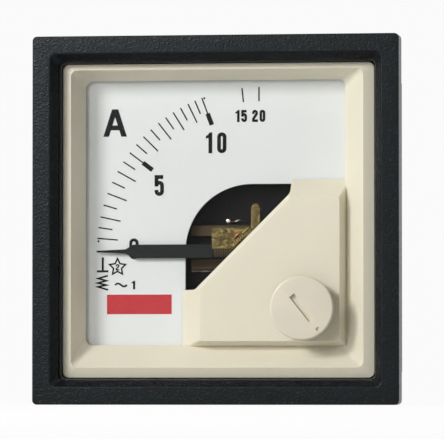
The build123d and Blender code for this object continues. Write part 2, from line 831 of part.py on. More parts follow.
def make_frame_rails():
    """Two brass rails across the front of the frame, above and below the spindle."""
    front = frame_front_y - rail_thick
    right = rail_left + rail_length
    upper = block(rail_left, right, rail_upper_bottom, rail_upper_bottom + rail_upper_height,
                  front, frame_front_y)
    lower = block(rail_left, right, rail_lower_bottom, rail_lower_bottom + rail_lower_height,
                  front, frame_front_y)
    rails = []
    for rail in (upper, lower):
        for x, z in bridge_places():
            rail = rail - disc(x, z, bridge_pillar_radius + screw_fit, front, frame_front_y)
        rails.append(rail)
    return Compound(children=rails)


def make_damper_box():
    body = disc(pivot_x, pivot_z, damper_radius, frame_back_y, damper_back_y)
    body = body + tie_ears(frame_back_y, damper_back_y)
    chamber = sector(pivot_x, pivot_z, damper_radius - damper_wall, damper_end, damper_start,
                     frame_back_y, damper_back_y)
    chamber = chamber + disc(pivot_x, pivot_z, frame_hole, frame_back_y, damper_back_y)
    return with_tie_holes(body - chamber, frame_back_y, damper_back_y)


def make_damper_cover():
    cover = disc(pivot_x, pivot_z, damper_radius, damper_back_y, bobbin_front_y)
    cover = cover + tie_ears(damper_back_y, bobbin_front_y)
    cover = cover - disc(pivot_x, pivot_z, frame_hole / 2, damper_back_y, bobbin_front_y)
    return with_tie_holes(cover, damper_back_y, bobbin_front_y)


def make_coil_bobbin():
    front_end = bobbin_front_y + bobbin_flange
    back_start = bobbin_back_y - bobbin_flange
    spool = disc(pivot_x, pivot_z, bobbin_core, bobbin_front_y, bobbin_back_y)
    for front, back in ((bobbin_front_y, front_end), (back_start, bobbin_back_y)):
        flange = disc(pivot_x, pivot_z, bobbin_flange_radius, front, back) + tie_ears(front, back)
        spool = spool + with_tie_holes(flange, front, back)
    return spool - disc(pivot_x, pivot_z, bobbin_bore, bobbin_front_y, bobbin_back_y)


def make_copper_coil():
    """Winding of thick wire: a ring whose outside shows one round ridge for each turn."""
    start = bobbin_front_y + bobbin_flange
    pitch = (bobbin_length - 2 * bobbin_flange) / winding_turns
    core = winding_radius - pitch / 2
    coil = disc(pivot_x, pivot_z, core, start, start + pitch * winding_turns)
    for i in range(winding_turns):
        ridge = Torus(core, pitch / 2 - 0.01)
        middle = start + pitch * (i + 0.5)
        coil = coil + Pos(pivot_x, middle, pivot_z) * Rot(90, 0, 0) * ridge
    return coil - disc(pivot_x, pivot_z, bobbin_core, start, start + pitch * winding_turns)


def make_fixed_iron():
    """Soft iron strip that lies against the bobbin's bore."""
    front = bobbin_front_y + core_iron_front
    back = bobbin_back_y - core_iron_back
    outside = bobbin_bore - iron_fit
    strip = sector(pivot_x, pivot_z, outside, 180 - core_iron_angle / 2, 180 + core_iron_angle / 2,
                   front, back)
    return strip - disc(pivot_x, pivot_z, outside - core_iron_thick, front, back)


def make_terminal_strap(side):
    """Copper strap from a terminal stud forward and in to the winding's side."""
    x, z = terminal_places()[side]
    sign = -1 if side == "left" else 1
    post = pivot_x + sign * (bobbin_flange_radius + strap_clearance)
    half = strap_width / 2
    back = rear_inside_y
    front = back - strap_thick
    touch_y = (bobbin_front_y + bobbin_back_y) / 2
    near = pivot_x + sign * winding_radius
    ring = disc(x, z, strap_ring_radius, front, back)
    foot = block(min(x, post), max(x, post), z - half, z + half, front, back)
    rise = block(min(post, post + sign * strap_thick), max(post, post + sign * strap_thick),
                 z - half, z + half, touch_y - half, back)
    outer = post + sign * strap_thick
    tongue = block(min(near, outer), max(near, outer), z - half, z + half,
                   touch_y - half, touch_y - half + strap_thick)
    strap = ring + foot + rise + tongue
    strap = strap - disc(pivot_x, pivot_z, winding_radius, touch_y - strap_width, touch_y + strap_width)
    return strap - disc(x, z, stud_root_radius + stud_fit, front, back)


def make_terminal_stud(side):
    """Stud with a hexagon head inside, a thicker root through the wall and a free threaded end."""
    x, z = terminal_places()[side]
    head_back = rear_inside_y - strap_thick
    root_end = body_depth + stud_root_length
    head = plate(Pos(x, z) * RegularPolygon(stud_head_radius, 6), stud_head_y, head_back)
    root = disc(x, z, stud_root_radius, head_back, root_end)
    free = disc(x, z, stud_radius, root_end, root_end + stud_free_length)
    tip = free.faces().sort_by(Axis.Y)[-1].edges()
    return head + root + chamfer(tip, stud_radius / 5)


def make_terminal_washers():
    washers = []
    for x, z in terminal_places().values():
        ring = disc(x, z, washer_radius, body_depth, body_depth + washer_thick)
        washers.append(ring - disc(x, z, stud_root_radius, body_depth, body_depth + washer_thick))
    return Compound(children=washers)


def make_terminal_nuts():
    nuts = []
    front = body_depth + washer_thick
    back = body_depth + stud_root_length
    for x, z in terminal_places().values():
        nut = plate(Pos(x, z) * RegularPolygon(nut_radius, 6), front, back)
        nuts.append(nut - disc(x, z, stud_root_radius, front, back))
    return Compound(children=nuts)


parts = {
    "bezel": make_bezel(),
    "front_glass": make_front_glass(),
    "glass_gasket": make_glass_gasket(),
    "rear_housing": make_rear_housing(),
    "dial_mask": make_dial_mask(),
    "dial_plate": make_dial_plate(),
    "scale_print": make_scale_print(),
    "dial_screws": make_dial_screws(),
    "zero_adjuster": make_zero_adjuster(),
    "adjuster_clip": make_adjuster_clip(),
    "zero_lever": make_zero_lever(),
    "hairspring": make_hairspring(),
    "pointer": make_pointer(),
    "pointer_hub": make_pointer_hub(),
    "balance_weights": make_balance_weights(),
    "spindle": make_spindle(),
    "moving_iron": make_moving_iron(),
    "damping_vane": make_damping_vane(),
    "front_bridge": make_front_bridge(),
    "bridge_pillars": make_bridge_pillars(),
    "bridge_screws": make_bridge_screws(),
    "front_bearing": make_front_bearing(),
    "rear_bearing": make_rear_bearing(),
    "rear_bridge": make_rear_bridge(),
    "tie_screws": make_tie_screws(),
    "movement_frame": make_movement_frame(),
    "frame_rails": make_frame_rails(),
    "frame_screws": make_frame_screws(),
    "damper_box": make_damper_box(),
    "damper_cover": make_damper_cover(),
    "coil_bobbin": make_coil_bobbin(),
    "copper_coil": make_copper_coil(),
    "fixed_iron": make_fixed_iron(),
    "terminal_strap_left": make_terminal_strap("left"),
    "terminal_strap_right": make_terminal_strap("right"),
    "terminal_stud_left": make_terminal_stud("left"),
    "terminal_stud_right": make_terminal_stud("right"),
    "terminal_washers": make_terminal_washers(),
    "terminal_nuts": make_terminal_nuts(),
}

os.makedirs("parts", exist_ok=True)
for name, solid in parts.items():
    export_step(solid, f"parts/{name}.step")
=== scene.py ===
"""Analog panel meter: the finishes, lettering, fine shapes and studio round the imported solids."""

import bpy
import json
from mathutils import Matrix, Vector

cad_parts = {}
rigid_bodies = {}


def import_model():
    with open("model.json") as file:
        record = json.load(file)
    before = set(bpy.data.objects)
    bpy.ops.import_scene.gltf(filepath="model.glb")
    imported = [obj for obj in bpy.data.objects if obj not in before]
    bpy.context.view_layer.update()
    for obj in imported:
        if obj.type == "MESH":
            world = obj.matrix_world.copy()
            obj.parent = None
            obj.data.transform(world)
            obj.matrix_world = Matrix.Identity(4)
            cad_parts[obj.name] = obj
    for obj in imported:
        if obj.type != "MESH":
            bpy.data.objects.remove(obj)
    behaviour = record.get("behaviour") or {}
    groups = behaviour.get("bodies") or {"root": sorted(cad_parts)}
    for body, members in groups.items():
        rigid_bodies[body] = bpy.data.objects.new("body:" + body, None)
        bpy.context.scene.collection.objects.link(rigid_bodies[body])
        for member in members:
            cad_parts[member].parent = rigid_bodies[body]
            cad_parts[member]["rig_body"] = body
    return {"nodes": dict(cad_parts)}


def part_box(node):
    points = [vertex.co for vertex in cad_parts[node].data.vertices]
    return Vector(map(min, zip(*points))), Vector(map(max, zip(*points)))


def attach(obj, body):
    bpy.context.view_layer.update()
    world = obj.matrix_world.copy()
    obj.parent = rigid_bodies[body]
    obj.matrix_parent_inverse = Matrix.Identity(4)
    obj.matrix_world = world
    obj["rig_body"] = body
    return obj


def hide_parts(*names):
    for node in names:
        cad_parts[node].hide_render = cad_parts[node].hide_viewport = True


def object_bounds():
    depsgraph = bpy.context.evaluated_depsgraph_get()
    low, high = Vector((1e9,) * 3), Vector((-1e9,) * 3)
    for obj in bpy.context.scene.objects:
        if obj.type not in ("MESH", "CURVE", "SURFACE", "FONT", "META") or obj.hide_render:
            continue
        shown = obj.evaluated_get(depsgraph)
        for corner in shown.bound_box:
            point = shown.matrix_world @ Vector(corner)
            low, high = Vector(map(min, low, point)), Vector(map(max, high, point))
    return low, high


bl_info = {
    "name": "Analog panel meter",
    "version": (1, 0, 0),
    "blender": (4, 5, 0),
    "location": "3D View > Sidebar > Panel meter",
    "description": "Dresses a 72 mm square moving iron panel meter and sets up its studio",
    "category": "Object",
}

import json
import math

import bmesh
import bpy
from bpy.props import FloatProperty, FloatVectorProperty, IntProperty, PointerProperty
from mathutils import Matrix, Vector

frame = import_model()
packed_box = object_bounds()

MM = 0.001
MERGE_DISTANCE = 1e-7
FLAT_ANGLE = math.radians(0.5)
SHARP_ANGLE = math.radians(32)
FRONT_AXIS = (0.0, -1.0, 0.0)

# Lower left corners of the figures and of the unit letter, in millimetres across and up the dial
FIGURE_PLACES = {
    "zero": (-18.55, -7.35), "five": (-13.5, 5.1),
    "one of ten": (-3.3, 13.45), "zero of ten": (-1.05, 13.45),
    "one of fifteen": (2.56, 19.55), "five of fifteen": (3.75, 19.55),
    "two of twenty": (5.9, 19.55), "zero of twenty": (7.38, 19.55),
    "class": (-18.1, -13.3), "test": (-21.25, -9.58), "unit": (-23.75, 16.85),
}

# Lines of the small symbols and places of the dots, in millimetres across and up the dial
MOUNTING_UPRIGHT = [(-23.85, -7.0), (-23.85, -9.7)]
MOUNTING_FOOT = [(-25.0, -9.75), (-22.75, -9.75)]
IRON_ZIGZAG = [(-22.85, -10.6), (-24.75, -11.15), (-23.15, -11.6), (-24.85, -12.05), (-23.15, -12.45),
               (-24.8, -12.8), (-22.8, -13.4)]
STAR_MIDDLE = (-20.9, -8.92)
WAVE_START = (-21.4, -12.45)
LIMIT_DOTS = ((-24.7, -3.8), (-3.6, 24.3))

# The floor and its backdrop, in metres
FLOOR_REACH = 1.5
FLOOR_FORWARD = 0.2
BACKDROP_RISE = 1.8
SWEEP_RADIUS = 0.5


def shade(red, green, blue):
    """Linear colour of a swatch given as it looks on a screen, 0 to 255."""
    linear = []
    for value in (red, green, blue):
        part = value / 255
        linear.append(part / 12.92 if part <= 0.04045 else ((part + 0.055) / 1.055) ** 2.4)
    return (*linear, 1.0)


def length(name, description, millimetres):
    return FloatProperty(name=name, description=description, default=millimetres * MM, min=0.0,
                         soft_max=0.1, precision=5, subtype="DISTANCE", unit="LENGTH")


def colour(name, description, red, green, blue):
    return FloatVectorProperty(name=name, description=description, size=4, subtype="COLOR",
                               min=0.0, max=1.0, default=shade(red, green, blue))


def spot(name, description, *metres):
    return FloatVectorProperty(name=name, description=description, size=3, default=metres,
                               subtype="TRANSLATION", unit="LENGTH")


class MeterSizes(bpy.types.PropertyGroup):
    """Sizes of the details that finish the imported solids."""

    bezel_round: length("Bezel edges", "Width of the bezel's rounded edges", 0.24)
    housing_round: length("Housing edges", "Width of the housing's rounded edges", 0.25)
    mask_round: length("Mask edges", "Width of the dial mask's rounded edges", 0.42)
    knob_round: length("Adjuster edges", "Width of the zero adjuster's rounded edges", 0.14)
    knob_rim: length("Adjuster rim", "Width of the zero adjuster's rounded rim", 0.8)
    pressed_round: length("Pressed edges", "Width of the rounding on stamped metal edges", 0.1)
    strip_round: length("Strip edges", "Width of the rounding on the bridge and the lever", 0.17)
    rail_round: length("Rail edges", "Width of the rounding on the frame rails", 0.12)
    ink_thick: length("Ink", "Thickness of the printing on the dial", 0.05)
    figure_height: length("Scale figures", "Height of the figures 0, 5 and 10", 4.1)
    figure_width: length("Figure width", "Width of a scale figure", 1.85)
    figure_stroke: length("Figure stroke", "Line width of the scale figures", 0.74)
    small_height: length("Overload figures", "Height of the figures 15 and 20", 2.38)
    small_width: length("Overload width", "Width of an overload figure", 1.13)
    small_stroke: length("Overload stroke", "Line width of the overload figures", 0.49)
    unit_height: length("Unit letter", "Height of the unit letter", 5.4)
    unit_width: length("Unit width", "Width of the unit letter", 5.4 * 0.87)
    class_height: length("Class figure", "Height of the figure of the accuracy class", 1.65)
    class_stroke: length("Class stroke", "Line width of the figure of the accuracy class", 0.42)
    test_height: length("Test figure", "Height of the figure in the star", 1.26)
    test_width: length("Test width", "Width of the figure in the star", 0.72)
    star_reach: length("Star", "Distance of the star's tips from its middle", 1.68)
    star_waist: length("Star waist", "Distance of the star's inner corners from its middle", 0.84)
    wave_width: length("Wave", "Width of the alternating current sign", 2.4)
    wave_rise: length("Wave rise", "Height of the alternating current sign over its middle", 0.3)
    symbol_line: length("Symbol line", "Line width of the small symbols", 0.3)
    dot_radius: length("Limit dots", "Radius of the dots at the scale's ends", 0.2)
    lead_wire: length("Lead wire", "Radius of the coil's enamelled leads", 0.1)
    stub_wire: length("Stub wire", "Radius of the lead's bare end", 0.2)
    sleeve_wire: length("Sleeve", "Radius of the soldered sleeve on a lead", 0.14)
    spiral_wire: length("Spiral wire", "Radius of the small spiral's wire", 0.12)
    earth_wire: length("Earth wire", "Radius of the earth lead", 0.09)
    thread_length: length("Thread", "Length of a terminal stud's free threaded end", 9.8)
    thread_pitch: length("Pitch", "Pitch of the terminal studs' thread", 0.7)
    thread_depth: length("Thread depth", "Depth of the terminal studs' thread", 0.4)
    thread_steps: IntProperty(name="Thread steps", description="Facets in one turn of the thread",
                              default=32, min=8, max=96)


class MeterFinishes(bpy.types.PropertyGroup):
    """Colours of the meter's finishes, as they look under plain light."""

    bezel: colour("Bezel", "Slate grained plastic of the bezel", 12, 15, 17)
    housing: colour("Housing", "Black plastic of the rear housing", 27, 28, 30)
    mask: colour("Mask", "Cream plastic of the dial mask", 228, 222, 205)
    knob: colour("Adjuster", "Cream plastic of the zero adjuster", 220, 212, 193)
    dial: colour("Dial", "White lacquer of the dial plate", 227, 230, 232)
    ink: colour("Ink", "Black printing on the dial", 20, 22, 24)
    field: colour("Field", "Red printed field on the dial", 190, 60, 66)
    pointer: colour("Pointer", "Slate paint of the pointer", 15, 18, 21)
    brass: colour("Brass", "Yellow brass of the terminals", 168, 148, 96)
    aged_brass: colour("Aged brass", "Duller brass of bridges and levers", 93, 82, 52)
    dull_brass: colour("Dull brass", "Oxidised brass of the frame rails", 70, 60, 45)
    copper: colour("Copper", "Enamelled copper wire", 118, 72, 52)
    bare_copper: colour("Bare copper", "Copper of the terminal straps", 200, 128, 96)
    steel: colour("Steel", "Nickel plated steel of screws and nuts", 176, 174, 168)
    solder: colour("Solder", "Bright tinned solder", 226, 226, 224)
    iron: colour("Iron", "Soft iron strips", 96, 94, 92)
    aluminium: colour("Aluminium", "Vane and damper cover", 178, 180, 182)
    inner_plastic: colour("Movement plastic", "Black plastic inside the movement", 13, 13, 14)
    gasket: colour("Gasket", "Black foam behind the glass", 26, 26, 26)
    glass: colour("Glass", "Tint of the front glass", 255, 255, 254)


class MeterStudio(bpy.types.PropertyGroup):
    """Camera and light of the studio."""

    azimuth: FloatProperty(name="Azimuth", description="Camera angle round the meter, to its right",
                           default=math.radians(8), subtype="ANGLE", unit="ROTATION")
    elevation: FloatProperty(name="Elevation", description="Camera angle above the meter's axis",
                             default=math.radians(-2), subtype="ANGLE", unit="ROTATION")
    distance: FloatProperty(name="Distance", description="Camera distance from the bezel",
                            default=0.9, subtype="DISTANCE", unit="LENGTH")
    view_width: length("View width", "Width of the view at the bezel", 86.3)
    aim_right: length("Aim", "How far right of the bezel's middle the camera aims", 1.46)
    key_power: FloatProperty(name="Key light", description="Power of the soft light from the left",
                             default=2.5, min=0.0, subtype="POWER", unit="POWER")
    key_size: FloatProperty(name="Key size", description="Side of the soft light from the left",
                            default=0.15, subtype="DISTANCE", unit="LENGTH")
    front_power: FloatProperty(name="Front light", description="Power of the weaker light in front",
                               default=0.46, min=0.0, subtype="POWER", unit="POWER")
    front_size: FloatProperty(name="Front size", description="Side of the weaker light in front",
                              default=0.07, subtype="DISTANCE", unit="LENGTH")
    ambient: FloatProperty(name="Ambient", description="Strength of the studio's own brightness",
                           default=0.14, min=0.0)
    key_place: spot("Key place", "Where the soft light from the left stands", -0.355, -0.454, 0.26)
    front_place: spot("Front place", "Where the weaker light in front stands", -0.168, -0.45, 0.128)
    white_share: FloatProperty(name="White share", default=0.95, min=0.0, max=1.0,
                               description="How far the floor shows white to the camera")
    floor: colour("Floor", "Pale floor and backdrop", 246, 246, 246)


def sizes():
    return bpy.context.scene.meter_sizes


def finishes():
    return bpy.context.scene.meter_finishes


def studio():
    return bpy.context.scene.meter_studio


# Meshes

def merged_copy(node):
    """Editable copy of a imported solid, with its loose triangles joined into whole faces."""
    bm = bmesh.new()
    bm.from_mesh(frame["nodes"][node].data)
    bmesh.ops.remove_doubles(bm, verts=bm.verts, dist=MERGE_DISTANCE)
    bmesh.ops.dissolve_limit(bm, angle_limit=FLAT_ANGLE, verts=bm.verts, edges=bm.edges)
    return bm


def body_of(node):
    return frame["nodes"][node]["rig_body"]


def vertices_in(items):
    return [item for item in items if isinstance(item, bmesh.types.BMVert)]


def cut_across(bm, depth, way):
    """Cuts a mesh across at a depth, drops what lies beyond it and closes the cut."""
    whole = bm.verts[:] + bm.edges[:] + bm.faces[:]
    cut = bmesh.ops.bisect_plane(bm, geom=whole, plane_co=(0.0, depth, 0.0),
                                 plane_no=(0.0, way, 0.0), clear_outer=True)
    rim = [item for item in cut["geom_cut"] if isinstance(item, bmesh.types.BMEdge)]
    bmesh.ops.holes_fill(bm, edges=rim, sides=0)


def add_block(bm, place, size):
    """Adds a block round a place. Both are in millimetres."""
    moved = Matrix.Translation(Vector(place) * MM)
    bmesh.ops.create_cube(bm, size=1.0, matrix=moved @ Matrix.Diagonal((*(Vector(size) * MM), 1.0)))


def add_piece(name, bm, body, material, replaced=()):
    """Makes a mesh a named piece that rides on a body."""
    mesh = bpy.data.meshes.new(name)
    for face in bm.faces:
        face.smooth = True
    for edge in bm.edges:
        edge.smooth = len(edge.link_faces) == 2 and edge.calc_face_angle(0.0) < SHARP_ANGLE
    bm.to_mesh(mesh)
    bm.free()
    mesh.materials.append(material)
    piece = bpy.data.objects.new(name, mesh)
    bpy.context.scene.collection.objects.link(piece)
    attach(piece, body)
    if replaced:
        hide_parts(*replaced)
    return piece


def round_edges(piece, width, segments=3):
    bevel = piece.modifiers.new("Rounded edges", "BEVEL")
    bevel.width = width
    bevel.segments = segments
    bevel.limit_method = "ANGLE"
    bevel.angle_limit = SHARP_ANGLE
    bevel.harden_normals = True


def dressed_node(node, name, material, width, segments=3):
    """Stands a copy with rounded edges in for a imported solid."""
    piece = add_piece(name, merged_copy(node), body_of(node), material, (node,))
    round_edges(piece, width, segments)


def finish_nodes(material, *nodes):
    """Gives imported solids, shown as they are, their finish."""
    for node in nodes:
        mesh = frame["nodes"][node].data
        mesh.materials.clear()
        mesh.materials.append(material)


# Finishes

def new_finish(name):
    material = bpy.data.materials.new(name)
    material.use_nodes = True
    tree = material.node_tree
    return material, tree, tree.nodes["Principled BSDF"]


def object_place(tree, stretch=(1.0, 1.0, 1.0)):
    place = tree.nodes.new("ShaderNodeTexCoord")
    mapping = tree.nodes.new("ShaderNodeMapping")
    mapping.inputs["Scale"].default_value = stretch
    tree.links.new(place.outputs["Object"], mapping.inputs["Vector"])
    return mapping.outputs["Vector"]


def grain(tree, per_mm, detail=3.0, roughness=0.5, stretch=(1.0, 1.0, 1.0)):
    """Fine noise with a given number of grains to a millimetre."""
    noise = tree.nodes.new("ShaderNodeTexNoise")
    noise.inputs["Scale"].default_value = per_mm / MM
    noise.inputs["Detail"].default_value = detail
    noise.inputs["Roughness"].default_value = roughness
    tree.links.new(object_place(tree, stretch), noise.inputs["Vector"])
    return noise.outputs["Fac"]


def remap(tree, value, low, high, to_low, to_high):
    node = tree.nodes.new("ShaderNodeMapRange")
    node.inputs["From Min"].default_value = low
    node.inputs["From Max"].default_value = high
    node.inputs["To Min"].default_value = to_low
    node.inputs["To Max"].default_value = to_high
    tree.links.new(value, node.inputs["Value"])
    return node.outputs["Result"]


def scaled(base, factor):
    return tuple(min(part * factor, 1.0) for part in base[:3]) + (1.0,)


def tint(tree, factor, dark, light):
    """Mixes two colours by a factor, either of which may come from another node."""
    mix = tree.nodes.new("ShaderNodeMix")
    mix.data_type = "RGBA"
    tree.links.new(factor, mix.inputs["Factor"])
    for socket, value in (("A", dark), ("B", light)):
        target = [i for i in mix.inputs if i.name == socket and i.type == "RGBA"][0]
        if isinstance(value, bpy.types.NodeSocket):
            tree.links.new(value, target)
        else:
            target.default_value = value
    return [o for o in mix.outputs if o.type == "RGBA"][0]


def blend(tree, noise, low, high, first, second, most=1.0):
    """Colour that goes from the first to the second as a noise climbs from low to high."""
    return tint(tree, remap(tree, noise, low, high, 0.0, most), first, second)


def relief(tree, shader, height, strength, depth):
    bump = tree.nodes.new("ShaderNodeBump")
    bump.inputs["Strength"].default_value = strength
    bump.inputs["Distance"].default_value = depth
    tree.links.new(height, bump.inputs["Height"])
    tree.links.new(bump.outputs["Normal"], shader.inputs["Normal"])


def moulded_plastic(name, base, fine, spread, gloss, rough_low, rough_high, relief_strength):
    """Moulded plastic: slow colour drift, a fine grain and uneven gloss."""
    material, tree, shader = new_finish(name)
    drift = grain(tree, 0.08, 2.0)
    speck = grain(tree, fine, 4.0, 0.6)
    slow = blend(tree, drift, 0.35, 0.65, scaled(base, 1 - spread), scaled(base, 1 + spread))
    flecked = blend(tree, speck, 0.3, 0.75, slow, scaled(base, 1 + 3 * spread), 0.5)
    tree.links.new(flecked, shader.inputs["Base Color"])
    tree.links.new(remap(tree, speck, 0.3, 0.7, rough_low, rough_high), shader.inputs["Roughness"])
    shader.inputs["Specular IOR Level"].default_value = gloss
    relief(tree, shader, speck, relief_strength, 0.02 * MM)
    return material


def see_through(material, weight):
    """Lets light spread inside a pale plastic."""
    shader = material.node_tree.nodes["Principled BSDF"]
    shader.inputs["Subsurface Weight"].default_value = weight
    shader.inputs["Subsurface Radius"].default_value = (1.0, 0.85, 0.55)
    shader.inputs["Subsurface Scale"].default_value = 1.2 * MM


def bezel_plastic():
    """Slate plastic with a spark eroded grain that glitters a little; its colour has lighter flecks
    painted in as glints and darker mottle painted in as shade in the grain's pits.
    """
    base = finishes().bezel
    material, tree, shader = new_finish("Bezel plastic")
    drift = grain(tree, 0.06, 2.0)
    # Two noises steer painted light in the colour: the pits noise places painted shade, the specks
    # noise places painted glints and also sets the gloss and the bump.
    pit_shade = grain(tree, 1.5, 5.0, 0.72)
    glint_specks = grain(tree, 2.8, 2.0, 0.5)
    slow = blend(tree, drift, 0.35, 0.65, scaled(base, 0.75), scaled(base, 1.3))
    # Darker mottle: painted shade in the grain's pits.
    pit_shaded = blend(tree, pit_shade, 0.38, 0.62, scaled(base, 0.4), slow)
    # Lighter flecks: painted glints, where the grain is also glossier.
    flecked = blend(tree, glint_specks, 0.58, 0.7, pit_shaded, scaled(base, 6.5), 0.75)
    tree.links.new(flecked, shader.inputs["Base Color"])
    tree.links.new(remap(tree, glint_specks, 0.4, 0.7, 0.38, 0.2), shader.inputs["Roughness"])
    shader.inputs["Specular IOR Level"].default_value = 0.17
    shader.inputs["Specular Tint"].default_value = (0.88, 0.96, 1.0, 1.0)
    relief(tree, shader, glint_specks, 0.85, 0.1 * MM)
    return material


def housing_plastic():
    return moulded_plastic("Housing plastic", finishes().housing, 2.0, 0.06, 0.4, 0.38, 0.55, 0.25)


def mask_plastic():
    """Thin cream plastic that lets some light through its walls."""
    material = moulded_plastic("Mask plastic", finishes().mask, 1.4, 0.012, 0.3, 0.36, 0.5, 0.08)
    see_through(material, 0.3)
    return material


def knob_plastic():
    base = finishes().knob
    material = moulded_plastic("Adjuster plastic", base, 1.6, 0.01, 0.35, 0.32, 0.45, 0.06)
    see_through(material, 0.2)
    return material


def inner_plastic():
    base = finishes().inner_plastic
    return moulded_plastic("Movement plastic", base, 2.4, 0.08, 0.1, 0.45, 0.62, 0.2)


def gasket_foam():
    return moulded_plastic("Gasket foam", finishes().gasket, 5.0, 0.12, 0.1, 0.85, 0.98, 0.6)


def dial_lacquer():
    """White lacquer on sheet, almost even, with a faint orange peel."""
    base = finishes().dial
    material, tree, shader = new_finish("Dial lacquer")
    cloud = grain(tree, 0.05, 3.0)
    peel = grain(tree, 0.9, 2.0)
    clouded = blend(tree, cloud, 0.3, 0.7, scaled(base, 0.975), base)
    tree.links.new(clouded, shader.inputs["Base Color"])
    tree.links.new(remap(tree, peel, 0.3, 0.7, 0.5, 0.62), shader.inputs["Roughness"])
    shader.inputs["Specular IOR Level"].default_value = 0.25
    relief(tree, shader, peel, 0.06, 0.01 * MM)
    return material


def printed_ink(name, base):
    """Screen printed ink: dense, faintly mottled and a little uneven at its surface."""
    material, tree, shader = new_finish(name)
    mottle = grain(tree, 4.0, 3.0)
    uneven = blend(tree, mottle, 0.35, 0.7, scaled(base, 0.85), scaled(base, 1.25))
    tree.links.new(uneven, shader.inputs["Base Color"])
    tree.links.new(remap(tree, mottle, 0.3, 0.7, 0.55, 0.7), shader.inputs["Roughness"])
    shader.inputs["Specular IOR Level"].default_value = 0.12
    relief(tree, shader, mottle, 0.1, 0.01 * MM)
    return material


def pointer_paint():
    """Matt paint with a faint mottle."""
    base = finishes().pointer
    material, tree, shader = new_finish("Pointer paint")
    mottle = grain(tree, 2.6, 4.0, 0.6)
    uneven = blend(tree, mottle, 0.35, 0.7, scaled(base, 0.8), scaled(base, 1.3))
    tree.links.new(uneven, shader.inputs["Base Color"])
    tree.links.new(remap(tree, mottle, 0.3, 0.7, 0.45, 0.6), shader.inputs["Roughness"])
    shader.inputs["Specular IOR Level"].default_value = 0.16
    relief(tree, shader, mottle, 0.15, 0.02 * MM)
    return material


def worked_metal(name, base, rough_low, rough_high, stretch, stain, relief_strength=0.12):
    """Metal with drawn or rolled marks along one direction and darker stains."""
    material, tree, shader = new_finish(name)
    marks = grain(tree, 1.6, 4.0, 0.6, stretch)
    stains = grain(tree, 0.7, 4.0, 0.65)
    clean = blend(tree, marks, 0.3, 0.7, scaled(base, 0.82), scaled(base, 1.15))
    stained = blend(tree, stains, 0.5, 0.72, clean, scaled(base, 0.35), stain)
    tree.links.new(stained, shader.inputs["Base Color"])
    tree.links.new(remap(tree, marks, 0.3, 0.7, rough_low, rough_high), shader.inputs["Roughness"])
    shader.inputs["Metallic"].default_value = 1.0
    relief(tree, shader, marks, relief_strength, 0.02 * MM)
    return material


def brass():
    return worked_metal("Brass", finishes().brass, 0.26, 0.42, (1.0, 1.0, 3.0), 0.5)


def aged_brass():
    """Old brass with dark patches and small worn spots."""
    base = finishes().aged_brass
    material, tree, shader = new_finish("Aged brass")
    patches = grain(tree, 0.7, 4.0, 0.7)
    spots = grain(tree, 1.5, 5.0, 0.75, (1.0, 1.0, 1.5))
    worn = blend(tree, spots, 0.46, 0.6, scaled(base, 0.65), scaled(base, 2.2))
    patched = blend(tree, patches, 0.44, 0.62, worn, scaled(base, 0.35), 0.85)
    tree.links.new(patched, shader.inputs["Base Color"])
    tree.links.new(remap(tree, spots, 0.4, 0.66, 0.5, 0.3), shader.inputs["Roughness"])
    shader.inputs["Metallic"].default_value = 1.0
    relief(tree, shader, spots, 0.7, 0.06 * MM)
    return material


def dull_brass():
    return worked_metal("Dull brass", finishes().dull_brass, 0.42, 0.6, (1.0, 1.0, 4.0), 0.8, 0.4)


def nickel_steel():
    return worked_metal("Nickel plated steel", finishes().steel, 0.2, 0.34, (1.0, 3.0, 1.0), 0.3)


def soft_iron():
    return worked_metal("Soft iron", finishes().iron, 0.4, 0.58, (1.0, 4.0, 1.0), 0.6)


def bright_solder():
    return worked_metal("Bright solder", finishes().solder, 0.12, 0.24, (1.0, 1.0, 1.0), 0.15)


def rolled_aluminium():
    return worked_metal("Rolled aluminium", finishes().aluminium, 0.3, 0.45, (1.0, 1.0, 5.0), 0.2)


def bare_copper():
    return worked_metal("Bare copper", finishes().bare_copper, 0.28, 0.42, (1.0, 4.0, 1.0), 0.6)


def enamelled_copper():
    """Copper wire under clear enamel."""
    material = worked_metal("Enamelled copper", finishes().copper, 0.24, 0.36, (1.0, 5.0, 1.0), 0.4)
    shader = material.node_tree.nodes["Principled BSDF"]
    shader.inputs["Coat Weight"].default_value = 0.6
    shader.inputs["Coat Roughness"].default_value = 0.15
    return material


def clear_glass():
    """Thin clear pane: mostly see-through, with a weak reflection that grows at a slant."""
    material, tree, shader = new_finish("Front glass")
    tree.nodes.remove(shader)
    output = tree.nodes["Material Output"]
    clear = tree.nodes.new("ShaderNodeBsdfTransparent")
    clear.inputs["Color"].default_value = finishes().glass
    gloss = tree.nodes.new("ShaderNodeBsdfGlossy")
    smear = grain(tree, 0.08, 3.0)
    tree.links.new(remap(tree, smear, 0.3, 0.7, 0.02, 0.07), gloss.inputs["Roughness"])
    fresnel = tree.nodes.new("ShaderNodeFresnel")
    fresnel.inputs["IOR"].default_value = 1.16
    mix = tree.nodes.new("ShaderNodeMixShader")
    tree.links.new(fresnel.outputs["Fac"], mix.inputs["Fac"])
    tree.links.new(clear.outputs["BSDF"], mix.inputs[1])
    tree.links.new(gloss.outputs["BSDF"], mix.inputs[2])
    tree.links.new(mix.outputs["Shader"], output.inputs["Surface"])
    return material


# Printing on the dial

def dial_front():
    """Depth of the dial plate's front face."""
    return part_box("dial_plate")[0].y


def on_dial(x, z):
    """Point on the outer face of the printing, from millimetres across the dial."""
    return Vector((x * MM, dial_front() - sizes().ink_thick, z * MM))


def chain(points):
    """Line for inked_lines that runs straight from point to point."""
    return (points[0], points[1:])


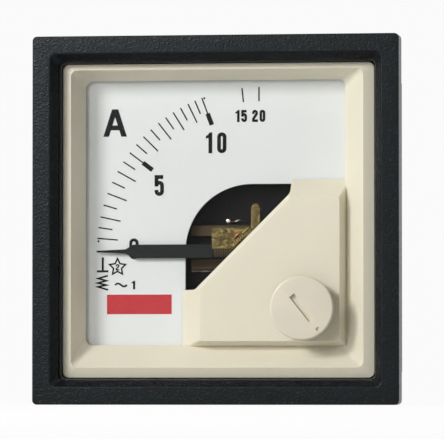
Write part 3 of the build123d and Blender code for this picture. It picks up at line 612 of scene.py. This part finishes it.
def draw_line(bm, start, moves):
    """Chain of edges on the dial. A move is a point, or a centre and a turn in degrees."""
    tip = bm.verts.new(on_dial(*start))
    for move in moves:
        if len(move) == 2:
            tip = bmesh.ops.extrude_vert_indiv(bm, verts=[tip])["verts"][0]
            tip.co = on_dial(*move)
            continue
        centre_x, centre_z, turn = move
        arc = bmesh.ops.spin(bm, geom=[tip], cent=on_dial(centre_x, centre_z), axis=FRONT_AXIS,
                             angle=math.radians(turn), steps=10)
        tip = vertices_in(arc["geom_last"])[0]


def inked_lines(name, lines, width, material, lift=0.0):
    """Printed lines of one width. Each line is a start point and its moves."""
    bm = bmesh.new()
    for start, moves in lines:
        draw_line(bm, start, moves)
    bmesh.ops.remove_doubles(bm, verts=bm.verts, dist=MERGE_DISTANCE)
    side = bmesh.ops.extrude_edge_only(bm, edges=bm.edges[:])["geom"]
    bmesh.ops.translate(bm, verts=vertices_in(side), vec=(0.0, sizes().ink_thick, 0.0))
    bmesh.ops.translate(bm, verts=bm.verts[:], vec=(0.0, -lift, 0.0))
    bmesh.ops.recalc_face_normals(bm, faces=bm.faces)
    piece = add_piece(name, bm, body_of("scale_print"), material)
    stroke = piece.modifiers.new("Line width", "SOLIDIFY")
    stroke.thickness = width
    stroke.offset = 0.0
    stroke.use_even_offset = True


def inked_shapes(name, shapes, material):
    """Printed solid shapes. Each shape is a list of outlines, the first outside, the rest holes."""
    bm = bmesh.new()
    for outlines in shapes:
        edges = []
        for outline in outlines:
            corners = [bm.verts.new(on_dial(*point)) for point in outline]
            for first, second in zip(corners, corners[1:] + corners[:1]):
                edges.append(bm.edges.new((first, second)))
        bmesh.ops.triangle_fill(bm, use_beauty=True, use_dissolve=False, edges=edges)
    bmesh.ops.recalc_face_normals(bm, faces=bm.faces)
    lifted = bmesh.ops.extrude_face_region(bm, geom=bm.faces[:])["geom"]
    bmesh.ops.translate(bm, verts=vertices_in(lifted), vec=(0.0, sizes().ink_thick, 0.0))
    bmesh.ops.recalc_face_normals(bm, faces=bm.faces)
    add_piece(name, bm, body_of("scale_print"), material)


def figure_zero(x, z, width, height, stroke):
    half = (width - stroke) / 2
    left = x + stroke / 2
    low = z + stroke / 2 + half
    high = z + height - stroke / 2 - half
    middle = left + half
    return [((left, low), [(left, high), (middle, high, -180), (left + 2 * half, low),
                           (middle, low, -180)])]


def figure_five(x, z, width, height, stroke):
    """Bar with the stem, then the bowl. The two cross, so they are printed one over the other."""
    half = (width - stroke) / 2
    left = x + stroke / 2
    right = left + 2 * half
    middle = left + half
    low = z + stroke / 2 + half
    top = z + height - stroke / 2
    waist = z + height * 0.50
    return [((right + stroke * 0.3, top), [(left, top), (left, waist - stroke / 4)]),
            ((left, waist), [(middle, waist, -180), (right, low), (middle, low, -180),
                             (left, low + stroke * 0.35)])]


def figure_two(x, z, width, height, stroke):
    half = (width - stroke) / 2
    left = x + stroke / 2
    right = left + 2 * half
    middle = left + half
    high = z + height - stroke / 2 - half
    low = z + stroke / 2
    slope = [(right, high - height * 0.1), (left, low + height * 0.16)]
    return [((left, high - stroke * 0.5),
             [(left, high), (middle, high, -180), *slope, (left, low), (right + stroke / 2, low)])]


def figure_one(x, z, height, stroke):
    """Outline of a plain upright stroke with a slanting flag at its head."""
    left = x + stroke * 0.72
    right = left + stroke
    top = z + height
    return [[(left, z), (right, z), (right, top), (right - stroke * 0.72, top),
             (left - stroke * 0.18, top - height * 0.12), (x, top - height * 0.17),
             (x, top - height * 0.3), (left, top - height * 0.26)]]


def unit_letter(x, z, width, height):
    """Outline of a plain capital letter and of the opening over its bar."""
    leg = width * 0.235
    apex = width * 0.26
    lean = (width - apex) / 2 / height
    bar_low = height * 0.235
    bar_high = height * 0.41
    right = x + width
    middle = x + width / 2
    notch = (width / 2 - leg) / lean
    outside = [(x, z), (middle - apex / 2, z + height), (middle + apex / 2, z + height), (right, z),
               (right - leg, z), (right - leg - lean * bar_low, z + bar_low),
               (x + leg + lean * bar_low, z + bar_low), (x + leg, z)]
    inside = [(x + leg + lean * bar_high, z + bar_high), (right - leg - lean * bar_high, z + bar_high),
              (middle, z + notch)]
    return [outside, inside]


def print_figures(ink):
    s = sizes()
    place = FIGURE_PLACES
    large = [value / MM for value in (s.figure_width, s.figure_height, s.figure_stroke)]
    small = [value / MM for value in (s.small_width, s.small_height, s.small_stroke)]
    bar, bowl = figure_five(*place["five"], *large)
    zero = figure_zero(*place["zero of ten"], *large)
    inked_lines("scale_figures", [bowl] + zero, s.figure_stroke, ink)
    inked_lines("scale_figure_bar", [bar], s.figure_stroke, ink, s.ink_thick / 4)
    thin = s.figure_stroke / MM * 0.8
    inked_lines("zero_figure", figure_zero(*place["zero"], *large[:2], thin), thin * MM, ink)
    bar, bowl = figure_five(*place["five of fifteen"], *small)
    lines = [bowl] + figure_two(*place["two of twenty"], *small)
    lines += figure_zero(*place["zero of twenty"], *small)
    inked_lines("overload_figures", lines, s.small_stroke, ink)
    inked_lines("overload_figure_bar", [bar], s.small_stroke, ink, s.ink_thick / 4)
    shapes = [figure_one(*place["one of ten"], *large[1:]),
              figure_one(*place["one of fifteen"], *small[1:]),
              figure_one(*place["class"], s.class_height / MM, s.class_stroke / MM),
              unit_letter(*place["unit"], s.unit_width / MM, s.unit_height / MM)]
    inked_shapes("scale_ones_and_unit", shapes, ink)


def star_line(x, z, outer, inner):
    points = []
    for i in range(11):
        reach = outer if i % 2 == 0 else inner
        turn = math.radians(90 - 36 * i)
        points.append((x + reach * math.cos(turn), z + reach * math.sin(turn)))
    return chain(points)


def wave_line(x, z, width, rise):
    points = []
    for i in range(13):
        share = i / 12
        points.append((x + width * share, z + rise * math.sin(2 * math.pi * share)))
    return chain(points)


def print_symbols(ink):
    """Mounting position, test voltage star, moving iron sign and alternating current sign."""
    s = sizes()
    line = s.symbol_line
    inked_lines("mounting_symbol", [chain(MOUNTING_UPRIGHT), chain(MOUNTING_FOOT)], line * 1.35, ink)
    star = star_line(*STAR_MIDDLE, s.star_reach / MM, s.star_waist / MM)
    inked_lines("test_star", [star], line, ink)
    two = figure_two(*FIGURE_PLACES["test"], s.test_width / MM, s.test_height / MM, line / MM * 0.85)
    inked_lines("test_figure", two, line * 0.85, ink)
    inked_lines("moving_iron_symbol", [chain(IRON_ZIGZAG)], line * 1.1, ink)
    wave = wave_line(*WAVE_START, s.wave_width / MM, s.wave_rise / MM)
    inked_lines("current_symbol", [wave], line * 1.2, ink)


def print_dots(ink):
    s = sizes()
    bm = bmesh.new()
    for x, z in LIMIT_DOTS:
        place = Matrix.Translation(on_dial(x, z) + Vector((0.0, s.ink_thick / 2, 0.0)))
        place = place @ Matrix.Rotation(math.radians(90), 4, "X")
        bmesh.ops.create_cone(bm, cap_ends=True, segments=20, radius1=s.dot_radius,
                              radius2=s.dot_radius, depth=s.ink_thick, matrix=place)
    add_piece("limit_dots", bm, body_of("scale_print"), ink)


def print_field():
    """Plain red field, left bare."""
    left, right, low, high = -23.0, -10.1, -18.2, -14.35
    outline = [(left, low), (right, low), (right, high), (left, high)]
    inked_shapes("red_field", [[outline]], printed_ink("Red ink", finishes().field))


# Zero adjuster

def rounded_knob(material):
    """Zero adjuster with a well rounded rim and finely rounded slot."""
    s = sizes()
    low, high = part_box("zero_adjuster")
    centre_x = (low.x + high.x) / 2
    centre_z = (low.z + high.z) / 2
    rim_radius = (high.x - low.x) / 2
    bm = merged_copy("zero_adjuster")
    front = [edge for edge in bm.edges
             if all(v.co.y < low.y + MERGE_DISTANCE * 10 for v in edge.verts)]
    rim = [edge for edge in front
           if all(math.hypot(v.co.x - centre_x, v.co.z - centre_z) > rim_radius * 0.93
                  for v in edge.verts)]
    bmesh.ops.bevel(bm, geom=rim, offset=s.knob_rim, offset_type="OFFSET", segments=6, profile=0.5,
                    affect="EDGES", material=-1)
    knob = add_piece("adjuster_knob", bm, body_of("zero_adjuster"), material,
                     ("zero_adjuster",))
    round_edges(knob, s.knob_round)


# Movement

def thin_wire(name, runs, radius, node, material):
    """Smooth round wires that ride with a node. Each run is a list of points in millimetres."""
    curve = bpy.data.curves.new(name, "CURVE")
    curve.dimensions = "3D"
    curve.bevel_depth = radius
    curve.bevel_resolution = 3
    curve.resolution_u = 6
    curve.use_fill_caps = True
    for run in runs:
        spline = curve.splines.new("NURBS")
        spline.points.add(len(run) - 1)
        for point, place in zip(spline.points, run):
            point.co = (place[0] * MM, place[1] * MM, place[2] * MM, 1.0)
        spline.use_endpoint_u = True
        spline.order_u = 3
    curve.materials.append(material)
    wire = bpy.data.objects.new(name, curve)
    bpy.context.scene.collection.objects.link(wire)
    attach(wire, body_of(node))


def coiled(start, end, radius, turns):
    """Points of a small helix between two points."""
    start = Vector(start)
    axis = Vector(end) - start
    side = axis.cross(Vector((0.0, 1.0, 0.0))).normalized() * radius
    over = axis.cross(side).normalized() * radius
    steps = 10
    points = []
    for i in range(turns * steps + 1):
        turn = 2 * math.pi * i / steps
        along = start + axis * (i / (turns * steps))
        points.append(along + side * math.cos(turn) + over * math.sin(turn))
    return points


def lead_pin(metal):
    """Bright round headed pin in the frame, where a lead of the coil ends."""
    x, z, head = 0.8, 0.15, 0.52
    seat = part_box("movement_frame")[0].y / MM
    tip = seat - 2.6
    bm = bmesh.new()
    profile = [(0.0, tip), (head * 0.6, tip + 0.05), (head * 0.88, tip + 0.18), (head, tip + 0.45),
               (head * 0.8, tip + 0.75), (0.28, tip + 0.8), (0.28, seat)]
    verts = [bm.verts.new(((x + radius) * MM, y * MM, z * MM)) for radius, y in profile]
    edges = [bm.edges.new(pair) for pair in zip(verts, verts[1:])]
    bmesh.ops.spin(bm, geom=verts + edges, cent=(x * MM, 0.0, z * MM), axis=(0.0, 1.0, 0.0),
                   angle=2 * math.pi, steps=32, use_merge=True)
    bmesh.ops.remove_doubles(bm, verts=bm.verts, dist=MERGE_DISTANCE)
    rim = [edge for edge in bm.edges if edge.is_boundary]
    bmesh.ops.holes_fill(bm, edges=rim, sides=0)
    bmesh.ops.recalc_face_normals(bm, faces=bm.faces)
    add_piece("lead_pin", bm, body_of("movement_frame"), metal)


def coil_leads():
    """Leads of the coil in front of the frame, and the small spiral beside the bridge."""
    s = sizes()
    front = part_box("front_bridge")[0].y / MM
    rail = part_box("frame_rails")[0].y / MM
    over = [(1.1, 8.3, 0.15), (1.7, 8.1, 0.0), (2.25, 7.85, 0.1), (3.15, 7.8, 0.4), (4.0, 8.2, 0.1),
            (4.8, 9.0, -0.6), (5.4, 10.6, -1.2)]
    along = [(-6.6, rail - 0.08, -9.08), (-4.0, rail - 0.12, -9.14), (-1.5, rail - 0.1, -9.05),
             (2.0, rail - 0.1, -9.1)]
    thin_wire("coil_leads", [over, along], s.lead_wire, "front_bridge",
              enamelled_copper())
    stub = [(2.75, front - 0.14, -3.55), (3.15, front - 0.4, -3.05), (3.6, front - 0.45, -2.62),
            (4.05, front - 0.14, -2.35)]
    thin_wire("lead_stub", [stub], s.stub_wire, "front_bridge", bare_copper())
    sleeve = [(2.3, 7.82, 0.1), (2.7, 7.8, 0.24), (3.1, 7.82, 0.36)]
    thin_wire("lead_sleeve", [sleeve], s.sleeve_wire, "movement_frame", bright_solder())
    bend = [(4.65, front - 0.14, -2.35), (5.0, front - 0.35, -1.95), (5.7, front - 0.16, -1.35)]
    spiral = coiled((2.5, front - 0.55, -4.95), (4.9, front - 0.55, -2.75), 0.5, 7)
    thin_wire("lead_spiral", [spiral, bend], s.spiral_wire, "front_bridge", brass())
    earth = [(-6.6, rail + 0.3, -9.66), (-4.6, rail + 0.25, -9.7), (-2.6, rail + 0.3, -9.64),
             (1.0, rail + 0.35, -9.7)]
    thin_wire("earth_lead", [earth], s.earth_wire, "frame_rails", nickel_steel())


def comb_strip(metal):
    """Row of narrow upright teeth that hangs from the bridge's wing, in front of the pointer."""
    left, right, top, bottom = -1.15, 3.2, -5.4, -7.1
    teeth, pitch, first = 9, 0.48, 0.25
    tooth_width, tooth_depth = 0.24, 0.4
    back_thick, back_offset, back_short = 0.24, 0.5, 0.1
    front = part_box("front_bridge")[0].y / MM + 0.1
    middle = (top + bottom) / 2
    bm = bmesh.new()
    for i in range(teeth):
        add_block(bm, (left + first + i * pitch, front + tooth_depth / 2, middle),
                  (tooth_width, tooth_depth, top - bottom))
    add_block(bm, ((left + right) / 2, front + back_offset, middle),
              (right - left, back_thick, top - bottom - back_short))
    bmesh.ops.bevel(bm, geom=bm.edges[:], offset=0.04 * MM, offset_type="OFFSET", segments=2,
                    profile=0.5, affect="EDGES", material=-1)
    add_piece("comb_strip", bm, body_of("front_bridge"), metal)


# Terminals

def threaded_stud(side, metal):
    """Terminal stud whose free end has a real thread with a slightly tapered tip."""
    s = sizes()
    node = "terminal_stud_" + side
    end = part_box(node)[1].y
    start = end - s.thread_length
    bm = merged_copy(node)
    cut_across(bm, start + s.thread_pitch / 4, 1.0)
    tip = [v.co for v in bm.verts if v.co.y > start]
    centre_x = (min(co.x for co in tip) + max(co.x for co in tip)) / 2
    centre_z = (min(co.z for co in tip) + max(co.z for co in tip)) / 2
    crest = (max(co.x for co in tip) - min(co.x for co in tip)) / 2
    root = crest - s.thread_depth
    thread = bmesh.new()
    first = start - s.thread_pitch
    profile = [(root, 0.0), (root, 0.18), (crest, 0.44), (crest, 0.56), (root, 0.82), (root, 1.0)]
    verts = [thread.verts.new((centre_x + radius, first + share * s.thread_pitch, centre_z))
             for radius, share in profile]
    edges = [thread.edges.new(pair) for pair in zip(verts, verts[1:])]
    turns = math.ceil(s.thread_length / s.thread_pitch) + 2
    bmesh.ops.spin(thread, geom=verts + edges, cent=(centre_x, 0.0, centre_z), axis=(0.0, 1.0, 0.0),
                   dvec=(0.0, s.thread_pitch / s.thread_steps, 0.0), angle=2 * math.pi * turns,
                   steps=s.thread_steps * turns)
    bmesh.ops.remove_doubles(thread, verts=thread.verts, dist=MERGE_DISTANCE * 20)
    cut_across(thread, start, -1.0)
    cut_across(thread, end, 1.0)
    last = [v for v in thread.verts if v.co.y > end - s.thread_pitch * 0.4]
    middle = Matrix.Translation((centre_x, 0.0, centre_z))
    bmesh.ops.scale(thread, vec=(0.8, 1.0, 0.8), space=middle.inverted(), verts=last)
    bmesh.ops.recalc_face_normals(thread, faces=thread.faces)
    spare = bpy.data.meshes.new("Thread")
    thread.to_mesh(spare)
    thread.free()
    bm.from_mesh(spare)
    bpy.data.meshes.remove(spare)
    add_piece("threaded_stud_" + side, bm, body_of(node), metal, (node,))


# Operators

class METER_OT_bezel(bpy.types.Operator):
    """Bezel and gasket round the window"""

    bl_idname = "meter.bezel"
    bl_label = "Bezel"

    def execute(self, context):
        dressed_node("bezel", "bezel_moulding", bezel_plastic(), sizes().bezel_round)
        finish_nodes(gasket_foam(), "glass_gasket")
        return {"FINISHED"}


class METER_OT_glass(bpy.types.Operator):
    """Clear front glass"""

    bl_idname = "meter.glass"
    bl_label = "Front glass"

    def execute(self, context):
        finish_nodes(clear_glass(), "front_glass")
        return {"FINISHED"}


class METER_OT_housing(bpy.types.Operator):
    """Rear housing with rounded edges"""

    bl_idname = "meter.housing"
    bl_label = "Rear housing"

    def execute(self, context):
        dressed_node("rear_housing", "housing_moulding", housing_plastic(),
                     sizes().housing_round, 2)
        return {"FINISHED"}


class METER_OT_mask(bpy.types.Operator):
    """Cream dial mask with its corner cover"""

    bl_idname = "meter.mask"
    bl_label = "Dial mask"

    def execute(self, context):
        dressed_node("dial_mask", "mask_moulding", mask_plastic(), sizes().mask_round)
        return {"FINISHED"}


class METER_OT_dial(bpy.types.Operator):
    """Dial plate, scale lines, figures and symbols"""

    bl_idname = "meter.dial"
    bl_label = "Dial"

    def execute(self, context):
        ink = printed_ink("Black ink", finishes().ink)
        finish_nodes(dial_lacquer(), "dial_plate")
        finish_nodes(ink, "scale_print")
        print_figures(ink)
        print_symbols(ink)
        print_dots(ink)
        print_field()
        return {"FINISHED"}


class METER_OT_zero_adjuster(bpy.types.Operator):
    """Zero adjuster and its clip"""

    bl_idname = "meter.zero_adjuster"
    bl_label = "Zero adjuster"

    def execute(self, context):
        rounded_knob(knob_plastic())
        finish_nodes(nickel_steel(), "adjuster_clip")
        return {"FINISHED"}


class METER_OT_pointer(bpy.types.Operator):
    """Pointer with its hub, weights, spring, spindle, iron and vane"""

    bl_idname = "meter.pointer"
    bl_label = "Pointer"

    def execute(self, context):
        dressed_node("pointer", "pointer_blade", pointer_paint(), sizes().pressed_round, 2)
        finish_nodes(aged_brass(), "pointer_hub", "hairspring", "balance_weights")
        finish_nodes(nickel_steel(), "spindle")
        finish_nodes(soft_iron(), "moving_iron")
        finish_nodes(rolled_aluminium(), "damping_vane")
        return {"FINISHED"}


class METER_OT_movement(bpy.types.Operator):
    """Bridges, bearings, zero lever, frame, damper, coil and leads"""

    bl_idname = "meter.movement"
    bl_label = "Movement"

    def execute(self, context):
        aged = aged_brass()
        for node, name in (("front_bridge", "bridge_strip"), ("zero_lever", "lever_strip")):
            dressed_node(node, name, aged, sizes().strip_round, 2)
        finish_nodes(aged, "bridge_pillars", "front_bearing", "rear_bearing", "rear_bridge")
        dull = dull_brass()
        dressed_node("frame_rails", "rail_plates", dull, sizes().rail_round, 2)
        comb_strip(dull)
        plated = nickel_steel()
        lead_pin(bright_solder())
        coil_leads()
        finish_nodes(plated, "bridge_screws", "tie_screws", "frame_screws", "dial_screws")
        finish_nodes(inner_plastic(), "movement_frame", "coil_bobbin", "damper_box")
        finish_nodes(rolled_aluminium(), "damper_cover")
        finish_nodes(enamelled_copper(), "copper_coil")
        finish_nodes(soft_iron(), "fixed_iron")
        return {"FINISHED"}


class METER_OT_terminals(bpy.types.Operator):
    """Threaded terminal studs, nuts, washers and straps"""

    bl_idname = "meter.terminals"
    bl_label = "Terminals"

    def execute(self, context):
        plated = nickel_steel()
        yellow = brass()
        for side in ("left", "right"):
            threaded_stud(side, yellow)
        dressed_node("terminal_nuts", "stud_nuts", plated, sizes().housing_round, 2)
        dressed_node("terminal_washers", "stud_washers", plated, sizes().pressed_round, 2)
        finish_nodes(bare_copper(), "terminal_strap_left", "terminal_strap_right")
        return {"FINISHED"}


class METER_OT_stage(bpy.types.Operator):
    """Pale floor and backdrop, soft lights and the camera"""

    bl_idname = "meter.stage"
    bl_label = "Studio"

    def execute(self, context):
        lay_floor()
        light_world()
        place_lights()
        place_camera()
        context.scene.view_settings.view_transform = "Standard"
        return {"FINISHED"}


# Studio

def seen_as_white(tree, shader_output, share):
    """Shows a surface or the world white to the camera, to gloss and through glass."""
    path = tree.nodes.new("ShaderNodeLightPath")
    total = path.outputs["Is Camera Ray"]
    for name in ("Is Glossy Ray", "Is Transmission Ray"):
        add = tree.nodes.new("ShaderNodeMath")
        add.operation = "MAXIMUM"
        tree.links.new(total, add.inputs[0])
        tree.links.new(path.outputs[name], add.inputs[1])
        total = add.outputs[0]
    part = tree.nodes.new("ShaderNodeMath")
    part.operation = "MULTIPLY"
    part.inputs[1].default_value = share
    tree.links.new(total, part.inputs[0])
    mix = tree.nodes.new("ShaderNodeMixShader")
    tree.links.new(part.outputs[0], mix.inputs["Fac"])
    tree.links.new(shader_output, mix.inputs[1])
    return mix


def lay_floor():
    """One sheet: a floor under the meter that sweeps up into a backdrop."""
    low = packed_box[0]
    bm = bmesh.new()
    bmesh.ops.create_grid(bm, x_segments=1, y_segments=1, size=FLOOR_REACH)
    bmesh.ops.translate(bm, verts=bm.verts, vec=(0.0, -FLOOR_FORWARD, low.z))
    back = [e for e in bm.edges if all(v.co.y > FLOOR_REACH / 2 for v in e.verts)]
    rise = bmesh.ops.extrude_edge_only(bm, edges=back)["geom"]
    bmesh.ops.translate(bm, verts=vertices_in(rise), vec=(0.0, 0.0, BACKDROP_RISE))
    fold = [e for e in bm.edges if len(e.link_faces) == 2]
    bmesh.ops.bevel(bm, geom=fold, offset=SWEEP_RADIUS, offset_type="OFFSET", segments=24, profile=0.5,
                    affect="EDGES", material=-1)
    bmesh.ops.recalc_face_normals(bm, faces=bm.faces)
    for face in bm.faces:
        face.smooth = True
    mesh = bpy.data.meshes.new("studio_floor")
    bm.to_mesh(mesh)
    bm.free()
    material, tree, shader = new_finish("Studio paper")
    paper = grain(tree, 0.02, 2.0)
    base = studio().floor
    tree.links.new(tint(tree, paper, scaled(base, 0.99), base), shader.inputs["Base Color"])
    shader.inputs["Roughness"].default_value = 0.9
    shader.inputs["Specular IOR Level"].default_value = 0.1
    mix = seen_as_white(tree, shader.outputs["BSDF"], studio().white_share)
    glow = tree.nodes.new("ShaderNodeEmission")
    glow.inputs["Strength"].default_value = 1.0
    tree.links.new(glow.outputs["Emission"], mix.inputs[2])
    tree.links.new(mix.outputs["Shader"], tree.nodes["Material Output"].inputs["Surface"])
    mesh.materials.append(material)
    floor = bpy.data.objects.new("studio_floor", mesh)
    bpy.context.scene.collection.objects.link(floor)


def light_world():
    world = bpy.data.worlds.new("Studio")
    bpy.context.scene.world = world
    world.use_nodes = True
    tree = world.node_tree
    soft = tree.nodes["Background"]
    soft.inputs["Color"].default_value = (1.0, 1.0, 1.0, 1.0)
    soft.inputs["Strength"].default_value = studio().ambient
    white = tree.nodes.new("ShaderNodeBackground")
    white.inputs["Color"].default_value = (1.0, 1.0, 1.0, 1.0)
    white.inputs["Strength"].default_value = 1.0
    mix = seen_as_white(tree, soft.outputs["Background"], 1.0)
    tree.links.new(white.outputs["Background"], mix.inputs[2])
    tree.links.new(mix.outputs["Shader"], tree.nodes["World Output"].inputs["Surface"])


def soft_light(name, place, size, power):
    lamp = bpy.data.lights.new(name, "AREA")
    lamp.shape = "SQUARE"
    lamp.size = size
    lamp.energy = power
    light = bpy.data.objects.new(name, lamp)
    light.location = place
    light.rotation_mode = "QUATERNION"
    light.rotation_quaternion = (-Vector(place)).to_track_quat("-Z", "Y")
    bpy.context.scene.collection.objects.link(light)


def place_lights():
    s = studio()
    soft_light("Key light", s.key_place, s.key_size, s.key_power)
    soft_light("Front light", s.front_place, s.front_size, s.front_power)


def place_camera():
    s = studio()
    toward = Vector((math.sin(s.azimuth) * math.cos(s.elevation),
                     -math.cos(s.azimuth) * math.cos(s.elevation), math.sin(s.elevation)))
    right = Vector((math.cos(s.azimuth), math.sin(s.azimuth), 0.0))
    aim = Vector((0.0, packed_box[0].y, 0.0)) + right * s.aim_right
    camera_data = bpy.data.cameras.new("Camera")
    camera_data.lens = camera_data.sensor_width * s.distance / s.view_width
    camera_data.clip_start = 0.01
    camera_data.clip_end = 10.0
    camera = bpy.data.objects.new("Camera", camera_data)
    camera.location = aim + toward * s.distance
    camera.rotation_mode = "QUATERNION"
    camera.rotation_quaternion = (-toward).to_track_quat("-Z", "Y")
    bpy.context.scene.collection.objects.link(camera)
    bpy.context.scene.camera = camera


OPERATORS = (METER_OT_bezel, METER_OT_glass, METER_OT_housing, METER_OT_mask, METER_OT_dial,
             METER_OT_zero_adjuster, METER_OT_pointer, METER_OT_movement, METER_OT_terminals,
             METER_OT_stage)


class METER_PT_sidebar(bpy.types.Panel):
    """Lists the meter's pieces, sizes and colours."""

    bl_idname = "METER_PT_sidebar"
    bl_label = "Panel meter"
    bl_space_type = "VIEW_3D"
    bl_region_type = "UI"
    bl_category = "Panel meter"

    def draw(self, context):
        for operator in OPERATORS:
            self.layout.operator(operator.bl_idname)
        for group in (context.scene.meter_sizes, context.scene.meter_finishes,
                      context.scene.meter_studio):
            box = self.layout.box()
            for name in group.__annotations__:
                box.prop(group, name)


CLASSES = (MeterSizes, MeterFinishes, MeterStudio, *OPERATORS, METER_PT_sidebar)


def register():
    for item in CLASSES:
        bpy.utils.register_class(item)
    bpy.types.Scene.meter_sizes = PointerProperty(type=MeterSizes)
    bpy.types.Scene.meter_finishes = PointerProperty(type=MeterFinishes)
    bpy.types.Scene.meter_studio = PointerProperty(type=MeterStudio)


def unregister():
    del bpy.types.Scene.meter_studio
    del bpy.types.Scene.meter_finishes
    del bpy.types.Scene.meter_sizes
    for item in reversed(CLASSES):
        bpy.utils.unregister_class(item)


def main():
    register()
    bpy.ops.meter.bezel()
    bpy.ops.meter.glass()
    bpy.ops.meter.housing()
    bpy.ops.meter.mask()
    bpy.ops.meter.dial()
    bpy.ops.meter.zero_adjuster()
    bpy.ops.meter.pointer()
    bpy.ops.meter.movement()
    bpy.ops.meter.terminals()
    bpy.ops.meter.stage()


if __name__ == "__main__":
    main()
